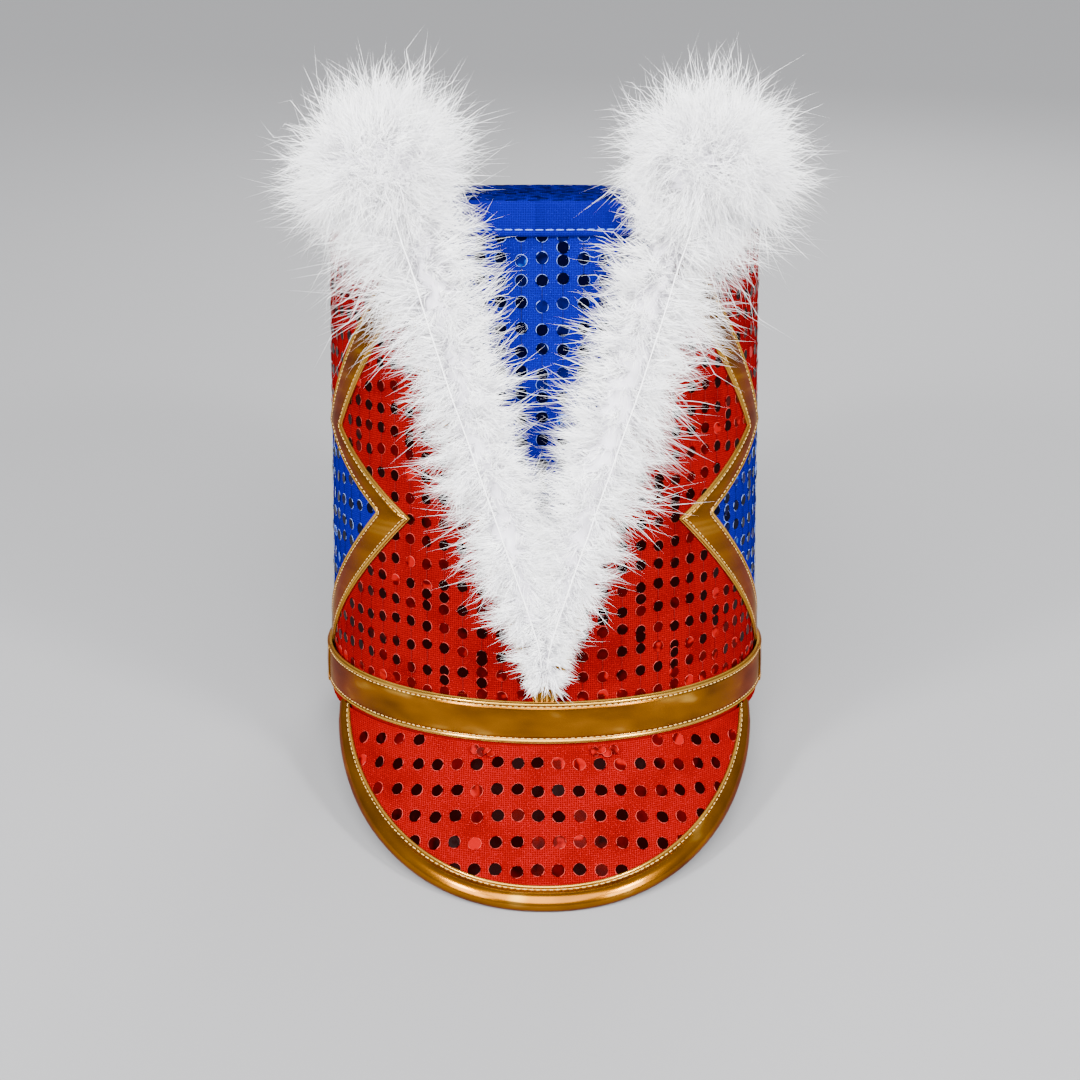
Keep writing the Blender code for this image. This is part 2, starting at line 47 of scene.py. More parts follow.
# The hat leans back on its rim and the tip of its peak. Up is against the rim mount's axis,
# and the crown's foot centre is the middle of the ring that is bound round the lower edge.
bindingDrop = 0.0012  # how far the bound edge reaches below the crown's foot
rimMount = next(mount for mount in frame["record"]["mounts"] if mount["name"] == "crown_rim")
hatUp = -np.array(rimMount["axis"], dtype=float)
hatUp /= np.linalg.norm(hatUp)
hatBack = np.array([0.0, hatUp[2], -hatUp[1]])
hatAxes = np.stack([[1.0, 0.0, 0.0], hatBack, hatUp])
ringMesh = frame["nodes"]["base_binding"].data
ring = np.empty(len(ringMesh.vertices) * 3, dtype=np.float32)
ringMesh.vertices.foreach_get("co", ring)
ring = ring.reshape(-1, 3).astype(float)
ringUp, ringBack = ring @ hatUp, ring @ hatBack
hatFoot = hatUp * (ringUp.min() + bindingDrop) + hatBack * (ringBack.min() + ringBack.max()) / 2


# Mesh tools. A shape is its points and its faces, in sets of one size.

def unit(vectors):
    # every row divided by its own length
    return vectors / np.maximum(np.linalg.norm(vectors, axis=-1, keepdims=True), 1e-12)


def outwards(points):
    # straight out from the axis
    return unit(points * [1.0, 1.0, 0.0])


def stacked(*values):
    # side by side along a new last axis, each stretched to the same shape
    return np.stack(np.broadcast_arrays(*values), axis=-1)


def fromAxis(points):
    # distance from the upright axis
    return np.linalg.norm(points[:, :2], axis=1)


def gridFaces(rows, columns, wrap=False):
    # four corners of each cell of a rows by columns grid; wrap joins the last column to the first
    row = np.arange(rows - 1)[:, None] * columns
    here = np.arange(columns if wrap else columns - 1)[None, :]
    after = (here + 1) % columns
    return stacked(row + here, row + after, row + columns + after, row + columns + here).reshape(-1, 4)


def tubeFaces(rings, sides):
    # the wall of a tube, and a flat cap over each end
    here = np.arange(sides)
    return [gridFaces(rings, sides, wrap=True), np.stack([here[::-1], here + (rings - 1) * sides])]


def pointedTube(rings, start, end):
    # rings of points joined by a wall, and a fan of triangles to a point at each end
    count, sides = rings.shape[:2]
    points = np.concatenate([rings.reshape(-1, 3), [start, end]])
    here = np.arange(sides)
    after = (here + 1) % sides
    last = (count - 1) * sides
    fans = np.concatenate([
        stacked(after, here, len(points) - 2),
        stacked(here + last, after + last, len(points) - 1)])
    return points, [gridFaces(count, sides, wrap=True), fans]


def repeated(cells, count, step):
    # the same faces for each of count copies, whose corners are numbered step apart
    return (cells + (np.arange(count) * step)[:, None, None]).reshape(-1, cells.shape[1])


def flipped(faces):
    # every face wound the other way
    return [cells[:, ::-1] for cells in faces]


def sided(shape, side):
    # as it is for the right; x turned over and every face wound the other way for the left
    return shape if side > 0 else (shape[0] * [-1.0, 1.0, 1.0], flipped(shape[1]))


def joined(shapes):
    # several shapes of the same face sizes as one, each set of corners shifted past the last
    shift = np.cumsum([0] + [len(points) for points, faces in shapes[:-1]])
    sets = range(len(shapes[0][1]))
    faces = [np.concatenate([s[1][k] + step for s, step in zip(shapes, shift)]) for k in sets]
    return np.concatenate([points for points, faceSets in shapes]), faces


def slab(outer, inner, cells):
    # outer face, inner face turned round, and a wall along every edge that has one cell only
    outer, inner = outer.reshape(-1, 3), inner.reshape(-1, 3)
    count = len(outer)
    edges = np.concatenate([cells[:, [k, (k + 1) % 4]] for k in range(4)])
    ahead = edges[:, 0] * count + edges[:, 1]
    reverse = edges[:, 1] * count + edges[:, 0]
    first, second = edges[~np.isin(reverse, ahead)].T
    walls = stacked(second, first, first + count, second + count)
    return np.concatenate([outer, inner]), [cells, cells[:, ::-1] + count, walls]


def spokes(first, second, sides):
    # first cos(turn) + second sin(turn), at even turns round a circle
    turn = np.arange(sides) * 2.0 * math.pi / sides
    return first[:, None] * np.cos(turn)[:, None] + second[:, None] * np.sin(turn)[:, None]


def lengthAlong(path):
    # the running length at each point of a line of points
    return np.concatenate([[0.0], np.cumsum(np.linalg.norm(np.diff(path, axis=0), axis=1))])


def between(stops, keys, rows):
    # every column of the rows, read from its keys at the stops
    return stacked(*(np.interp(stops, keys, column) for column in np.transpose(rows)))


def along(path, pitch):
    # points and directions every pitch metres along a line of points, by its running length
    run = lengthAlong(path)
    count = max(int(run[-1] / pitch), 1)
    stops = (np.arange(count) + 0.5) * run[-1] / count
    ahead = between(stops + pitch / 4, run, path) - between(stops - pitch / 4, run, path)
    return between(stops, run, path), unit(ahead)


def bars(middles, directions, normals, length, width, height):
    # little rounded stitches: four rings of four points, at -1, -0.6, 0.6 and 1 half lengths
    reach = np.array([-1.0, -0.6, 0.6, 1.0])[:, None, None]
    swell = np.array([0.35, 1.0, 1.0, 0.35])[:, None, None]
    across = unit(np.cross(directions, normals))
    oval = spokes(across * width / 2, normals * height / 2, 4)[:, None]
    points = (middles[:, None, None] + reach * (directions * length / 2)[:, None, None]) + swell * oval
    faces = [repeated(cells, len(middles), 4 * 4) for cells in flipped(tubeFaces(4, 4))]
    return points.reshape(-1, 3), faces


def makePiece(name, shape, material, node=None, uv=None, marks=None, sharpDeg=40.0):
    # a mesh straight from arrays, set down as the hat rests: x right + y back + z up from the
    # foot's centre; it rides with the hat, takes its finish and stands for its node, which is hidden
    points, faceSets = shape
    corners = np.concatenate([faces.ravel() for faces in faceSets]).astype(np.int32)
    sizes = np.concatenate([np.full(len(faces), faces.shape[1]) for faces in faceSets])
    mesh = bpy.data.meshes.new(name)
    mesh.vertices.add(len(points))
    mesh.vertices.foreach_set("co", (points @ hatAxes + hatFoot).astype(np.float32).ravel())
    mesh.loops.add(len(corners))
    mesh.loops.foreach_set("vertex_index", corners)
    mesh.polygons.add(len(sizes))
    mesh.polygons.foreach_set("loop_start", (np.cumsum(sizes) - sizes).astype(np.int32))
    mesh.update(calc_edges=True)
    if uv is not None:
        layer = mesh.uv_layers.new(name="UVMap")
        layer.data.foreach_set("uv", uv[corners].astype(np.float32).ravel())
    for label, values in (marks or {}).items():
        mark = mesh.attributes.new(label, "FLOAT", "POINT")
        mark.data.foreach_set("value", values.astype(np.float32))
    mesh.shade_smooth()
    if sharpDeg < 180.0:
        mesh.set_sharp_from_angle(angle=math.radians(sharpDeg))
    mesh.materials.append(material)
    piece = bpy.data.objects.new(name, mesh)
    bpy.context.scene.collection.objects.link(piece)
    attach(piece, "root")
    if node:
        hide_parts(node)


# Materials. Cloth and trims read their own UV map, in metres; down and thread read Object
# coordinates. The scales are of patterns over metres.

scales = {"tone": 42.0, "grain": 2100.0, "weave": 370.0, "scuffAndGlint": 420.0, "foil": 230.0,
          "crease": 38.0, "film": 2600.0, "twist": 900.0, "drift": 420.0}


def feed(node, sockets):
    # each socket takes a link from another node's socket, or else a fixed value
    for socket, value in sockets.items():
        if isinstance(value, bpy.types.NodeSocket):
            node.id_data.links.new(value, node.inputs[socket])
        else:
            node.inputs[socket].default_value = value


def newFinish(name, settings):
    # a material, its nodes and its shader, with these fixed values on the shader's own sockets
    material = bpy.data.materials.new(name)
    material.use_nodes = True
    shader = material.node_tree.nodes["Principled BSDF"]
    feed(shader, settings)
    return material, material.node_tree, shader


def addNode(tree, kind, sockets, **settings):
    # a node of this kind with its settings made and its sockets fed
    node = tree.nodes.new(kind)
    for key, value in settings.items():
        setattr(node, key, value)
    feed(node, sockets)
    return node


def addRamp(tree, factor, stops):
    # colour stops (position, colour) along a factor
    ramp = addNode(tree, "ShaderNodeValToRGB", {"Fac": factor})
    marks = ramp.color_ramp.elements
    marks[0].position, marks[0].color = stops[0]
    marks[1].position, marks[1].color = stops[-1]
    for position, colour in stops[1:-1]:
        marks.new(position).color = colour
    return ramp.outputs["Color"]


def mixColours(tree, factor, first, second):
    # first (1 - factor) + second factor
    sockets = {0: factor, 6: first, 7: second}
    return addNode(tree, "ShaderNodeMix", sockets, data_type="RGBA").outputs[2]


def spread(tree, value, low, high, toLow, toHigh):
    # a value between low and high, carried to the range from toLow to toHigh
    sockets = {"Value": value, "From Min": low, "From Max": high, "To Min": toLow, "To Max": toHigh}
    return addNode(tree, "ShaderNodeMapRange", sockets).outputs["Result"]


def arithmetic(tree, operation, first, second):
    # the sum, product or higher of two values
    return addNode(tree, "ShaderNodeMath", {0: first, 1: second}, operation=operation).outputs[0]


def noise(tree, coordinates, pattern, detail):
    # soft cloudy spots, 0 to 1
    sockets = {"Vector": coordinates, "Scale": scales[pattern], "Detail": detail}
    return addNode(tree, "ShaderNodeTexNoise", sockets).outputs["Fac"]


def ribs(tree, coordinates, pattern, direction):
    # a sine wave along one direction, 0 to 1
    sockets = {"Vector": coordinates, "Scale": scales[pattern]}
    return addNode(tree, "ShaderNodeTexWave", sockets, bands_direction=direction).outputs["Fac"]


def bumpNormal(tree, height, strength, distance):
    # the surface's normal tipped by the slope of a height
    sockets = {"Height": height, "Strength": strength, "Distance": distance}
    return addNode(tree, "ShaderNodeBump", sockets).outputs["Normal"]


def flatMap(tree):
    # the piece's own flat pattern, in metres
    return addNode(tree, "ShaderNodeUVMap", {}, uv_map="UVMap").outputs["UV"]


def objectPlace(tree):
    # the place in the piece, in metres
    return addNode(tree, "ShaderNodeTexCoord", {}).outputs["Object"]


def pointMark(tree, label):
    # a value that the piece's points carry
    return addNode(tree, "ShaderNodeAttribute", {}, attribute_name=label).outputs["Fac"]


def clothFinish(name, deep, plain, lit, cloth):
    # satin cloth: slow changes of tone, a scatter of bright grains that are painted glints, and a fine
    # weave, which is the higher of two sets of ribs at right angles, with painted shade between its ribs
    material, tree, shader = newFinish(name, {"Specular IOR Level": 0.0})
    uv = flatMap(tree)
    grain = noise(tree, uv, "grain", 2.0)
    weave = arithmetic(tree, "MAXIMUM", ribs(tree, uv, "weave", "X"), ribs(tree, uv, "weave", "Y"))
    tone = addRamp(tree, noise(tree, uv, "tone", 3.0), [(0.16, deep), (0.52, plain)])
    # painted shade where the weave is low
    weaveShade = mixColours(tree, spread(tree, weave, 0.3, 1.0, 0.95, 0.0), tone, deep)
    # painted glints on the brightest grains
    glintMix = spread(tree, grain, 0.58, 0.74, 0.0, cloth["paintedGlints"])
    feed(shader, {
        "Base Color": mixColours(tree, glintMix, weaveShade, lit),
        "Roughness": spread(tree, grain, 0.35, 0.70, cloth["rough"] + 0.1, cloth["rough"]),
        "Normal": bumpNormal(tree, arithmetic(tree, "ADD", weave, grain), cloth["bump"], 0.00012)})
    return material


def sequinFinish(name, dark, middle, bright, rim, shine):
    # foil discs with painted reflections: most are painted dark for the dark they reflect, some dull, and a
    # few painted bright as if catching the light; the thin pressed edge has a painted highlight in broken
    # arcs
    material, tree, shader = newFinish(name, {"Specular IOR Level": shine})
    uv = flatMap(tree)
    scuffAndGlint = noise(tree, uv, "scuffAndGlint", 2.0)
    lean = spread(tree, noise(tree, uv, "foil", 1.0), 0.3, 0.7, -0.14, 0.14)
    # painted reflection: each disc's tone, nudged by a slow noise, picks dark, dull or bright foil
    paintedReflection = arithmetic(tree, "ADD", pointMark(tree, "tone"), lean)
    body = addRamp(tree, paintedReflection, [(0.0, dark), (0.52, dark), (0.92, middle), (1.0, bright)])
    # painted highlight on the pressed edge, broken up by the noise
    broken = spread(tree, scuffAndGlint, 0.42, 0.56, 0.0, 1.0)
    rimGlint = arithmetic(tree, "MULTIPLY", broken, pointMark(tree, "edge"))
    feed(shader, {
        "Base Color": mixColours(tree, rimGlint, body, rim),
        "Roughness": spread(tree, scuffAndGlint, 0.35, 0.70, 0.16, 0.32)})
    return material


def vinylFinish(name, deep, plain, lit, vinyl):
    # gold film on cloth with soft creases: painted shade brown in the hollows of the creases, a painted
    # highlight on their crests, and a painted highlight along the folded edges
    material, tree, shader = newFinish(name, {
        "Metallic": vinyl["metal"], "Specular Tint": vinyl["edge"],
        "Coat Weight": vinyl["coat"], "Coat Roughness": 0.06})
    uv = flatMap(tree)
    stretched = addNode(tree, "ShaderNodeMapping", {"Vector": uv, "Scale": (1.0, 2.4, 1.0)})
    cloud = noise(tree, stretched.outputs["Vector"], "crease", 2.0)
    tone = addRamp(tree, cloud, [(0.28, deep), (0.60, plain), (0.95, lit)])
    # painted highlight along the fold ridges and the roll's top
    edgeHighlightShare = arithmetic(tree, "MULTIPLY", pointMark(tree, "edgeHighlight"), 0.75)
    crease = arithmetic(tree, "MULTIPLY", cloud, 8.0)
    height = arithmetic(tree, "ADD", crease, noise(tree, uv, "film", 2.0))
    feed(shader, {
        "Base Color": mixColours(tree, edgeHighlightShare, tone, lit),
        "Roughness": spread(tree, cloud, 0.3, 0.7, vinyl["rough"] + 0.07, vinyl["rough"]),
        "Normal": bumpNormal(tree, height, vinyl["bump"], 0.00006)})
    return material


def threadFinish(name, dark, lit, roughness):
    # twisted thread: fine slanting ribs from dark to lit, painted shade and highlight of the twist
    material, tree, shader = newFinish(name, {"Roughness": roughness, "Specular IOR Level": 0.15})
    twist = ribs(tree, objectPlace(tree), "twist", "DIAGONAL")
    feed(shader, {"Base Color": addRamp(tree, twist, [(0.1, dark), (0.8, lit)])})
    return material


def downFinish(name, root, shade, plain, down):
    # down: painted shade, greyer at the roots; greyer in drifts, near white at the tips, and a painted glow
    # from its own colour as emission
    material, tree, shader = newFinish(name, {
        "Roughness": down["rough"], "Sheen Weight": down["sheen"], "Specular IOR Level": 0.2,
        "Emission Strength": down["paintedGlow"]})
    drift = noise(tree, objectPlace(tree), "drift", 4.0)
    tone = addRamp(tree, drift, [(0.36, shade), (0.52, plain)])
    # painted shade: the barbs darken towards their roots
    tip = spread(tree, pointMark(tree, "tip"), 0.0, 0.45, 0.0, 1.0)
    body = mixColours(tree, tip, root, tone)
    feed(shader, {"Base Color": body, "Emission Color": body})
    return material


clothLook = {"paintedGlints": 0.60, "rough": 0.45, "bump": 0.5}
bandLook = {"paintedGlints": 0.45, "rough": 0.62, "bump": 0.6}
vinylLook = {"metal": 0.90, "edge": (0.50, 0.26, 0.03, 1), "coat": 0.09, "rough": 0.18,
             "bump": 0.12}
barbLook = {"rough": 0.80, "sheen": 0.55, "paintedGlow": 0.30}

redCloth = clothFinish("redSatin", (0.055, 0.0, 0.0, 1), (0.15, 0.0, 0.0014, 1),
                       (0.44, 0.006, 0.012, 1), clothLook)
blueCloth = clothFinish("blueSatin", (0.001, 0.0, 0.055, 1), (0.002, 0.0, 0.135, 1),
                        (0.01, 0.03, 0.44, 1), clothLook)
plainBlue = clothFinish("bandBlue", (0.001, 0.0, 0.06, 1), (0.002, 0.0, 0.125, 1),
                        (0.01, 0.02, 0.32, 1), bandLook)
plainRed = clothFinish("bindingRed", (0.08, 0.0, 0.0, 1), (0.18, 0.0, 0.0, 1),
                       (0.40, 0.01, 0.01, 1), bandLook)
redFoil = sequinFinish("redSequins", (0.004, 0.0, 0.0, 1), (0.04, 0.0, 0.0, 1),
                       (0.19, 0.0, 0.001, 1), (0.50, 0.05, 0.04, 1), 0.015)
blueFoil = sequinFinish("blueSequins", (0.0, 0.0, 0.005, 1), (0.001, 0.001, 0.05, 1),
                        (0.0, 0.05, 0.30, 1), (0.22, 0.34, 0.90, 1), 0.02)
topFoil = sequinFinish("topSequins", (0.0, 0.0, 0.01, 1), (0.001, 0.001, 0.08, 1),
                       (0.0, 0.03, 0.26, 1), (0.10, 0.16, 0.60, 1), 0.0)
goldVinyl = vinylFinish("goldVinyl", (0.10, 0.032, 0.0004, 1), (0.225, 0.080, 0.0015, 1),
                        (0.85, 0.50, 0.09, 1), vinylLook)
goldThread = threadFinish("goldThread", (0.26, 0.13, 0.02, 1), (0.75, 0.52, 0.20, 1), 0.4)
paleThread = threadFinish("paleBlueThread", (0.03, 0.07, 0.40, 1), (0.14, 0.24, 0.70, 1), 0.6)
whiteThread = threadFinish("whiteThread", (0.90, 0.90, 0.90, 1), (1.0, 1.0, 1.0, 1), 0.4)
darkRedThread = threadFinish("redThread", (0.05, 0.0, 0.0, 1), (0.13, 0.0, 0.0, 1), 0.6)
darkBlueThread = threadFinish("blueThread", (0.0, 0.0, 0.02, 1), (0.0, 0.002, 0.06, 1), 0.6)
# the first colour is painted shade at the roots; the emission is a painted glow
whiteBarbs = downFinish("whiteBarbs", (0.64, 0.62, 0.67, 1), (0.82, 0.82, 0.86, 1),
                        (0.98, 0.98, 0.98, 1), barbLook)
print("finishes made")


# Crown. A place on it is an angle in degrees, 0 at the front and positive to the right, and a
# height in metres above its foot.

crown = {
    "footRadius": 0.0910, "topRadius": 0.0869, "height": 0.2070,
    "wall": 0.0022, "wallTop": 0.2044, "wallFoot": 0.0003,
    "blueApex": 0.0370, "redApex": 0.0362, "redTip": 0.1844, "colourSeam": 0.1176,
    "seamDeg": 0.25, "seamGap": 0.0002, "leastDeg": 0.02, "rowStep": 0.0045,
    "frontColumns": 25, "redColumns": 33, "sideColumns": 97,
}
vTape = {
    "angles": [1.1, 6.9, 16.3, 27.6, 34.3, 39.8],
    "heights": [0.0407, 0.0734, 0.1139, 0.1625, 0.1854, 0.2044],
    "halfDeg": 5.8,
    "innerFoot": [(0.02, 0.0120), (0.02, 0.0300), (0.02, 0.0560), (0.02, 0.0672)],
    "outerFoot": [(1.2, 0.0120), (2.8, 0.0215)],
    "legHeights": [0.0734, 0.1139, 0.1625, 0.1854, 0.1948],
    "step": 0.0030,
}
zigzag = {
    "bends": [(65.4, 0.1176), (35.0, 0.0879), (79.0, 0.0232), (85.9, 0.0130)],
    "wideDeg": 11.8, "innerStart": 0.1720, "outerStart": 0.1849,
    "wallAngles": [88.0, 84.9, 40.9, 71.3, 34.3],
    "wallHeights": [0.0003, 0.0232, 0.0879, 0.1176, 0.1854],
    "step": 0.0025,
}
seam = crown["seamDeg"]
bendHeights = vTape["heights"] + zigzag["wallHeights"]
flatMetres = np.array([math.radians(1.0) * crown["footRadius"], 1.0])  # cloth laid flat


def coneRadius(height):
    # foot radius + (top radius - foot radius) height / crown height
    return crown["footRadius"] + (crown["topRadius"] - crown["footRadius"]) * (height / crown["height"])


def onCrown(angle, height, lift):
    # r = the cone's radius at that height + lift; x = r sin(angle), y = -r cos(angle), z = height
    radius = coneRadius(height) + lift
    turn = np.radians(angle)
    return stacked(radius * np.sin(turn), -radius * np.cos(turn), height)


def crownNormal(angle):
    # straight out from the axis
    turn = np.radians(angle)
    return stacked(np.sin(turn), -np.cos(turn), 0.0)


def vAngle(height):
    # the middle of the V's right leg
    return np.interp(height, vTape["heights"], vTape["angles"])


def frontEdge(height):
    # where the front ends: under the zigzag tape's middle, and above it under the V's leg
    low = np.interp(height, zigzag["wallHeights"], zigzag["wallAngles"])
    return np.where(height < zigzag["wallHeights"][-1], low, vAngle(height))


def opening(height, apex, least):
    # the V's share of its full width: it grows evenly from the apex to the V's first corner
    return np.clip((height - apex) / (vTape["heights"][0] - apex), least, 1.0)


def levels(low, high, bends):
    # even heights from low to high, with every bend kept
    count = int((high - low) / crown["rowStep"]) + 2
    kept = [bend for bend in bends if low < bend < high]
    return np.unique(np.concatenate([np.linspace(low, high, count), kept]))


def wallPatch(heights, left, right, columns):
    # each height's row runs evenly from its left angle to its right angle
    angle = left[:, None] + (right - left)[:, None] * np.linspace(0.0, 1.0, columns)
    height = np.repeat(heights, columns)
    return angle.ravel(), height, gridFaces(len(heights), columns)


def wallPiece(name, patch, material, node):
    # a wall from the cloth's face in to the card's inner face
    angle, height, cells = patch
    shape = slab(onCrown(angle, height, 0.0), onCrown(angle, height, -crown["wall"]), cells)
    uv = stacked(angle, height) * flatMetres
    makePiece(name, shape, material, node, uv=np.tile(uv, (2, 1)))


rows = levels(crown["blueApex"], crown["wallTop"], bendHeights)
half = (vAngle(rows) - seam) * opening(rows, crown["blueApex"], 0.02)
wallPiece("frontBlueCloth", wallPatch(rows, -half, half, crown["frontColumns"]), blueCloth,
          "crown_front_blue")

# Front red: a right half from the middle or the V out to the zigzag, and the same turned over.
rows = levels(crown["wallFoot"], crown["redTip"], bendHeights + [crown["redApex"]])
inside = (vAngle(rows) + seam) * opening(rows, crown["redApex"], 0.0)
outside = np.maximum(frontEdge(rows) - seam, inside + crown["leastDeg"])
angle, height, cells = wallPatch(rows, inside, outside, crown["redColumns"])
pattern = stacked(np.concatenate([angle, -angle]), np.tile(height, 2))
pattern, kept = np.unique(np.round(pattern, 9), axis=0, return_inverse=True)
cells = kept.reshape(-1)[np.concatenate([cells, cells[:, ::-1] + len(angle)])]
wallPiece("frontRedCloth", (*pattern.T, cells), redCloth, "crown_front_red")

gap = crown["seamGap"]
for word, low, high, material in (
        ("Red", crown["colourSeam"] + gap, crown["wallTop"], redCloth),
        ("Blue", crown["wallFoot"], crown["colourSeam"] - gap, blueCloth)):
    rows = levels(low, high, bendHeights)
    edge = frontEdge(rows) + seam
    wallPiece("side" + word + "Cloth", wallPatch(rows, edge, 360.0 - edge, crown["sideColumns"]),
              material, "crown_side_" + word.lower())
print("crown walls made")


# Turned pieces: the top, the band round it and the bound lower edge

def turned(profile, sides):
    # rings of points: each (radius, height) of the profile carried round the axis
    turn = np.arange(sides) * 2.0 * math.pi / sides
    radius, height = profile[:, :1], profile[:, 1:]
    return stacked(radius * np.sin(turn), -radius * np.cos(turn), height)


def turnedLoop(profile, sides):
    # the same for a closed profile, whose last ring joins its first, with the lengths as uv
    count = len(profile)
    cells = gridFaces(count + 1, sides, wrap=True) % (count * sides)
    around = np.arange(sides) * 2.0 * math.pi / sides * profile[:, 0].mean()
    uv = stacked(around, lengthAlong(profile)[:, None]).reshape(-1, 2)
    return (turned(profile, sides).reshape(-1, 3), [cells]), uv


def softened(profile, rounds):
    # corners cut at a quarter and three quarters of each side, several times over
    for cut in range(rounds):
        after = np.roll(profile, -1, axis=0)
        corners = [0.75 * profile + 0.25 * after, 0.25 * profile + 0.75 * after]
        profile = np.stack(corners, axis=1).reshape(-1, 2)
    return profile


top = {"thick": 0.0023, "dome": 0.0025, "sides": 144, "rings": 22, "radius": 0.0869, "round": 0.0007}


def domeHeight(radius):
    # crown height + dome (1 - (r / R)^2)
    return crown["height"] + top["dome"] * (1.0 - (radius / top["radius"]) ** 2)


radius = top["radius"] * np.linspace(1.0, 0.0, top["rings"])[:-1]
profile = stacked(radius, domeHeight(radius))
profile[0, 1] -= top["round"]
sole = crown["height"] - top["thick"]
rings = turned(np.vstack([[top["radius"], sole], profile]), top["sides"])
shape = pointedTube(rings, [0.0, 0.0, sole], [0.0, 0.0, crown["height"] + top["dome"]])
makePiece("topCloth", shape, blueCloth, "crown_top", uv=shape[0][:, :2])

band = {
    "foot": 0.1951, "sides": 180, "rounds": 2,
    "stitchUp": 0.0024, "stitchOut": 0.00135, "stitchPitch": 0.0037,
    "stitchLong": 0.0030, "stitchWide": 0.00055, "stitchHigh": 0.00045,
    "profile": [  # (out from the crown's side, height)
        (0.00045, 0.1951), (0.00105, 0.1950), (0.00165, 0.1957), (0.00175, 0.1965),
        (0.00125, 0.1974), (0.00122, 0.1978), (0.00150, 0.1987), (0.00152, 0.2020),
        (0.00146, 0.2055), (0.00130, 0.2069), (0.00085, 0.2076), (0.00040, 0.2074),
        (0.00032, 0.2060), (0.00030, 0.2000)],
}
profile = np.array(band["profile"])
profile[:, 0] += coneRadius(np.minimum(profile[:, 1], crown["height"]))
shape, uv = turnedLoop(softened(profile, band["rounds"]), band["sides"])
makePiece("topBand", shape, plainBlue, "top_band", uv=uv)

binding = {
    "sides": 144, "sharpDeg": 60.0,
    "profile": [  # (radius, height)
        (0.0923, -0.0002), (0.0923, 0.0086), (0.0920, 0.0090), (0.0915, 0.0090), (0.0913, 0.0085),
        (0.0913, 0.0004), (0.0910, 0.0001), (0.0888, 0.0001), (0.0885, 0.0004), (0.0885, 0.0076),
        (0.0883, 0.0080), (0.0878, 0.0080), (0.0875, 0.0076), (0.0875, -0.0004), (0.0882, -0.0012),
        (0.0916, -0.0012)],
}
shape, uv = turnedLoop(np.array(binding["profile"]), binding["sides"])
makePiece("baseBinding", shape, plainRed, "base_binding", uv=uv,
          sharpDeg=binding["sharpDeg"])
print("top, band and binding made")


# Gold tapes and strap: each has folded edges, a stitched groove and a slightly full middle

fold = {
    "ledge": 0.45,  # height of the backing at the very edge, as a share of the thickness
    "ledgeWide": 0.0004, "ridgeAt": 0.0010, "ridgeWide": 0.00045, "ridgeHigh": 0.00022,
    "stitchAt": 0.0020, "grooveWide": 0.00035, "grooveDeep": 0.00034,
    "bellyWide": 0.0030, "bellyHigh": 0.00022, "highlightWide": 0.0004, "backWide": 0.00025,
    "stitchPitch": 0.0024, "stitchLong": 0.0017, "stitchWide": 0.00042, "stitchHigh": 0.00040,
    "stitchSunk": 0.00012, "uvStep": 0.0025, "lift": 0.0003, "thick": 0.0010, "leastWide": 0.0012,
    "steps": [0.0, 0.00015, 0.00035, 0.0005, 0.00065, 0.00085, 0.00105, 0.0013, 0.00155, 0.0018,
              0.0020, 0.0022, 0.0025, 0.0029, 0.0035],
}


def hump(distance, at, wide):
    # exp(-((distance - at) / wide)^2)
    return np.exp(-((distance - at) / wide) ** 2)


def foldedLift(distance, thick):
    # ledge, then a smooth step up to full height, + a ridge - a groove + a slow belly
    step = np.clip((distance - fold["ledgeWide"] / 2) / fold["ledgeWide"], 0.0, 1.0)
    rise = thick * (fold["ledge"] + (1.0 - fold["ledge"]) * step * step * (3.0 - 2.0 * step))
    ridge = fold["ridgeHigh"] * hump(distance, fold["ridgeAt"], fold["ridgeWide"])
    groove = fold["grooveDeep"] * hump(distance, fold["stitchAt"], fold["grooveWide"])
    belly = np.clip((distance - fold["stitchAt"]) / fold["bellyWide"], 0.0, 1.0)
    return rise + ridge - groove + fold["bellyHigh"] * belly


def foldHighlight(distance):
    # 1 on the ridge of the fold and on the backing's edge, 0 elsewhere: where a painted highlight goes
    ridge = hump(distance, fold["ridgeAt"], fold["highlightWide"])
    return np.clip(ridge + hump(distance, 0.0, fold["backWide"]), 0.0, 1.0)


def flatWidth(inner, outer):
    # the tape's true width: the gap between its edges, square to the way it runs
    run = unit(np.gradient((inner + outer) / 2, axis=0) * flatMetres)
    gap = (outer - inner) * flatMetres
    return np.maximum(np.abs(run[:, 0] * gap[:, 1] - run[:, 1] * gap[:, 0]), fold["leastWide"])


def tapeShape(inner, outer, lift=fold["lift"], thick=fold["thick"]):
    # the folded section laid on the crown between an inner and an outer edge, with steps across
    # that are close together near both edges
    width = flatWidth(inner, outer)[:, None]
    near = np.minimum(np.array(fold["steps"]) / width, 0.42)
    centre = np.linspace(0.42, 0.58, 4)[1:-1] + 0 * width
    across = np.concatenate([near, centre, 1 - near[:, ::-1]], axis=1)
    flat = inner[:, None] * (1 - across[..., None]) + outer[:, None] * across[..., None]
    angle, height = flat[..., 0], flat[..., 1]
    distance = np.minimum(across, 1 - across) * width
    face = onCrown(angle, height, lift + foldedLift(distance, thick))
    shape = slab(face, onCrown(angle, height, lift), gridFaces(*angle.shape))
    length = fold["uvStep"] * np.arange(1, len(width) + 1)[:, None]
    uv = stacked(length, height).reshape(-1, 2)
    return shape, np.tile(uv, (2, 1)), np.tile(foldHighlight(distance).ravel(), 2)


def evenKeys(corners, step):
    # keys close to step metres apart, where corner k has key k and every corner is kept
    length = np.linalg.norm(np.diff(np.array(corners) * flatMetres, axis=0), axis=1)
    counts = np.maximum((length / step).astype(int), 1)
    return np.concatenate([k + np.arange(n) / n for k, n in enumerate(counts)] + [[len(counts)]])


def keyed(corners, keys):
    # the line through the corners, read at the keys
    return between(keys, np.arange(len(corners)), corners)


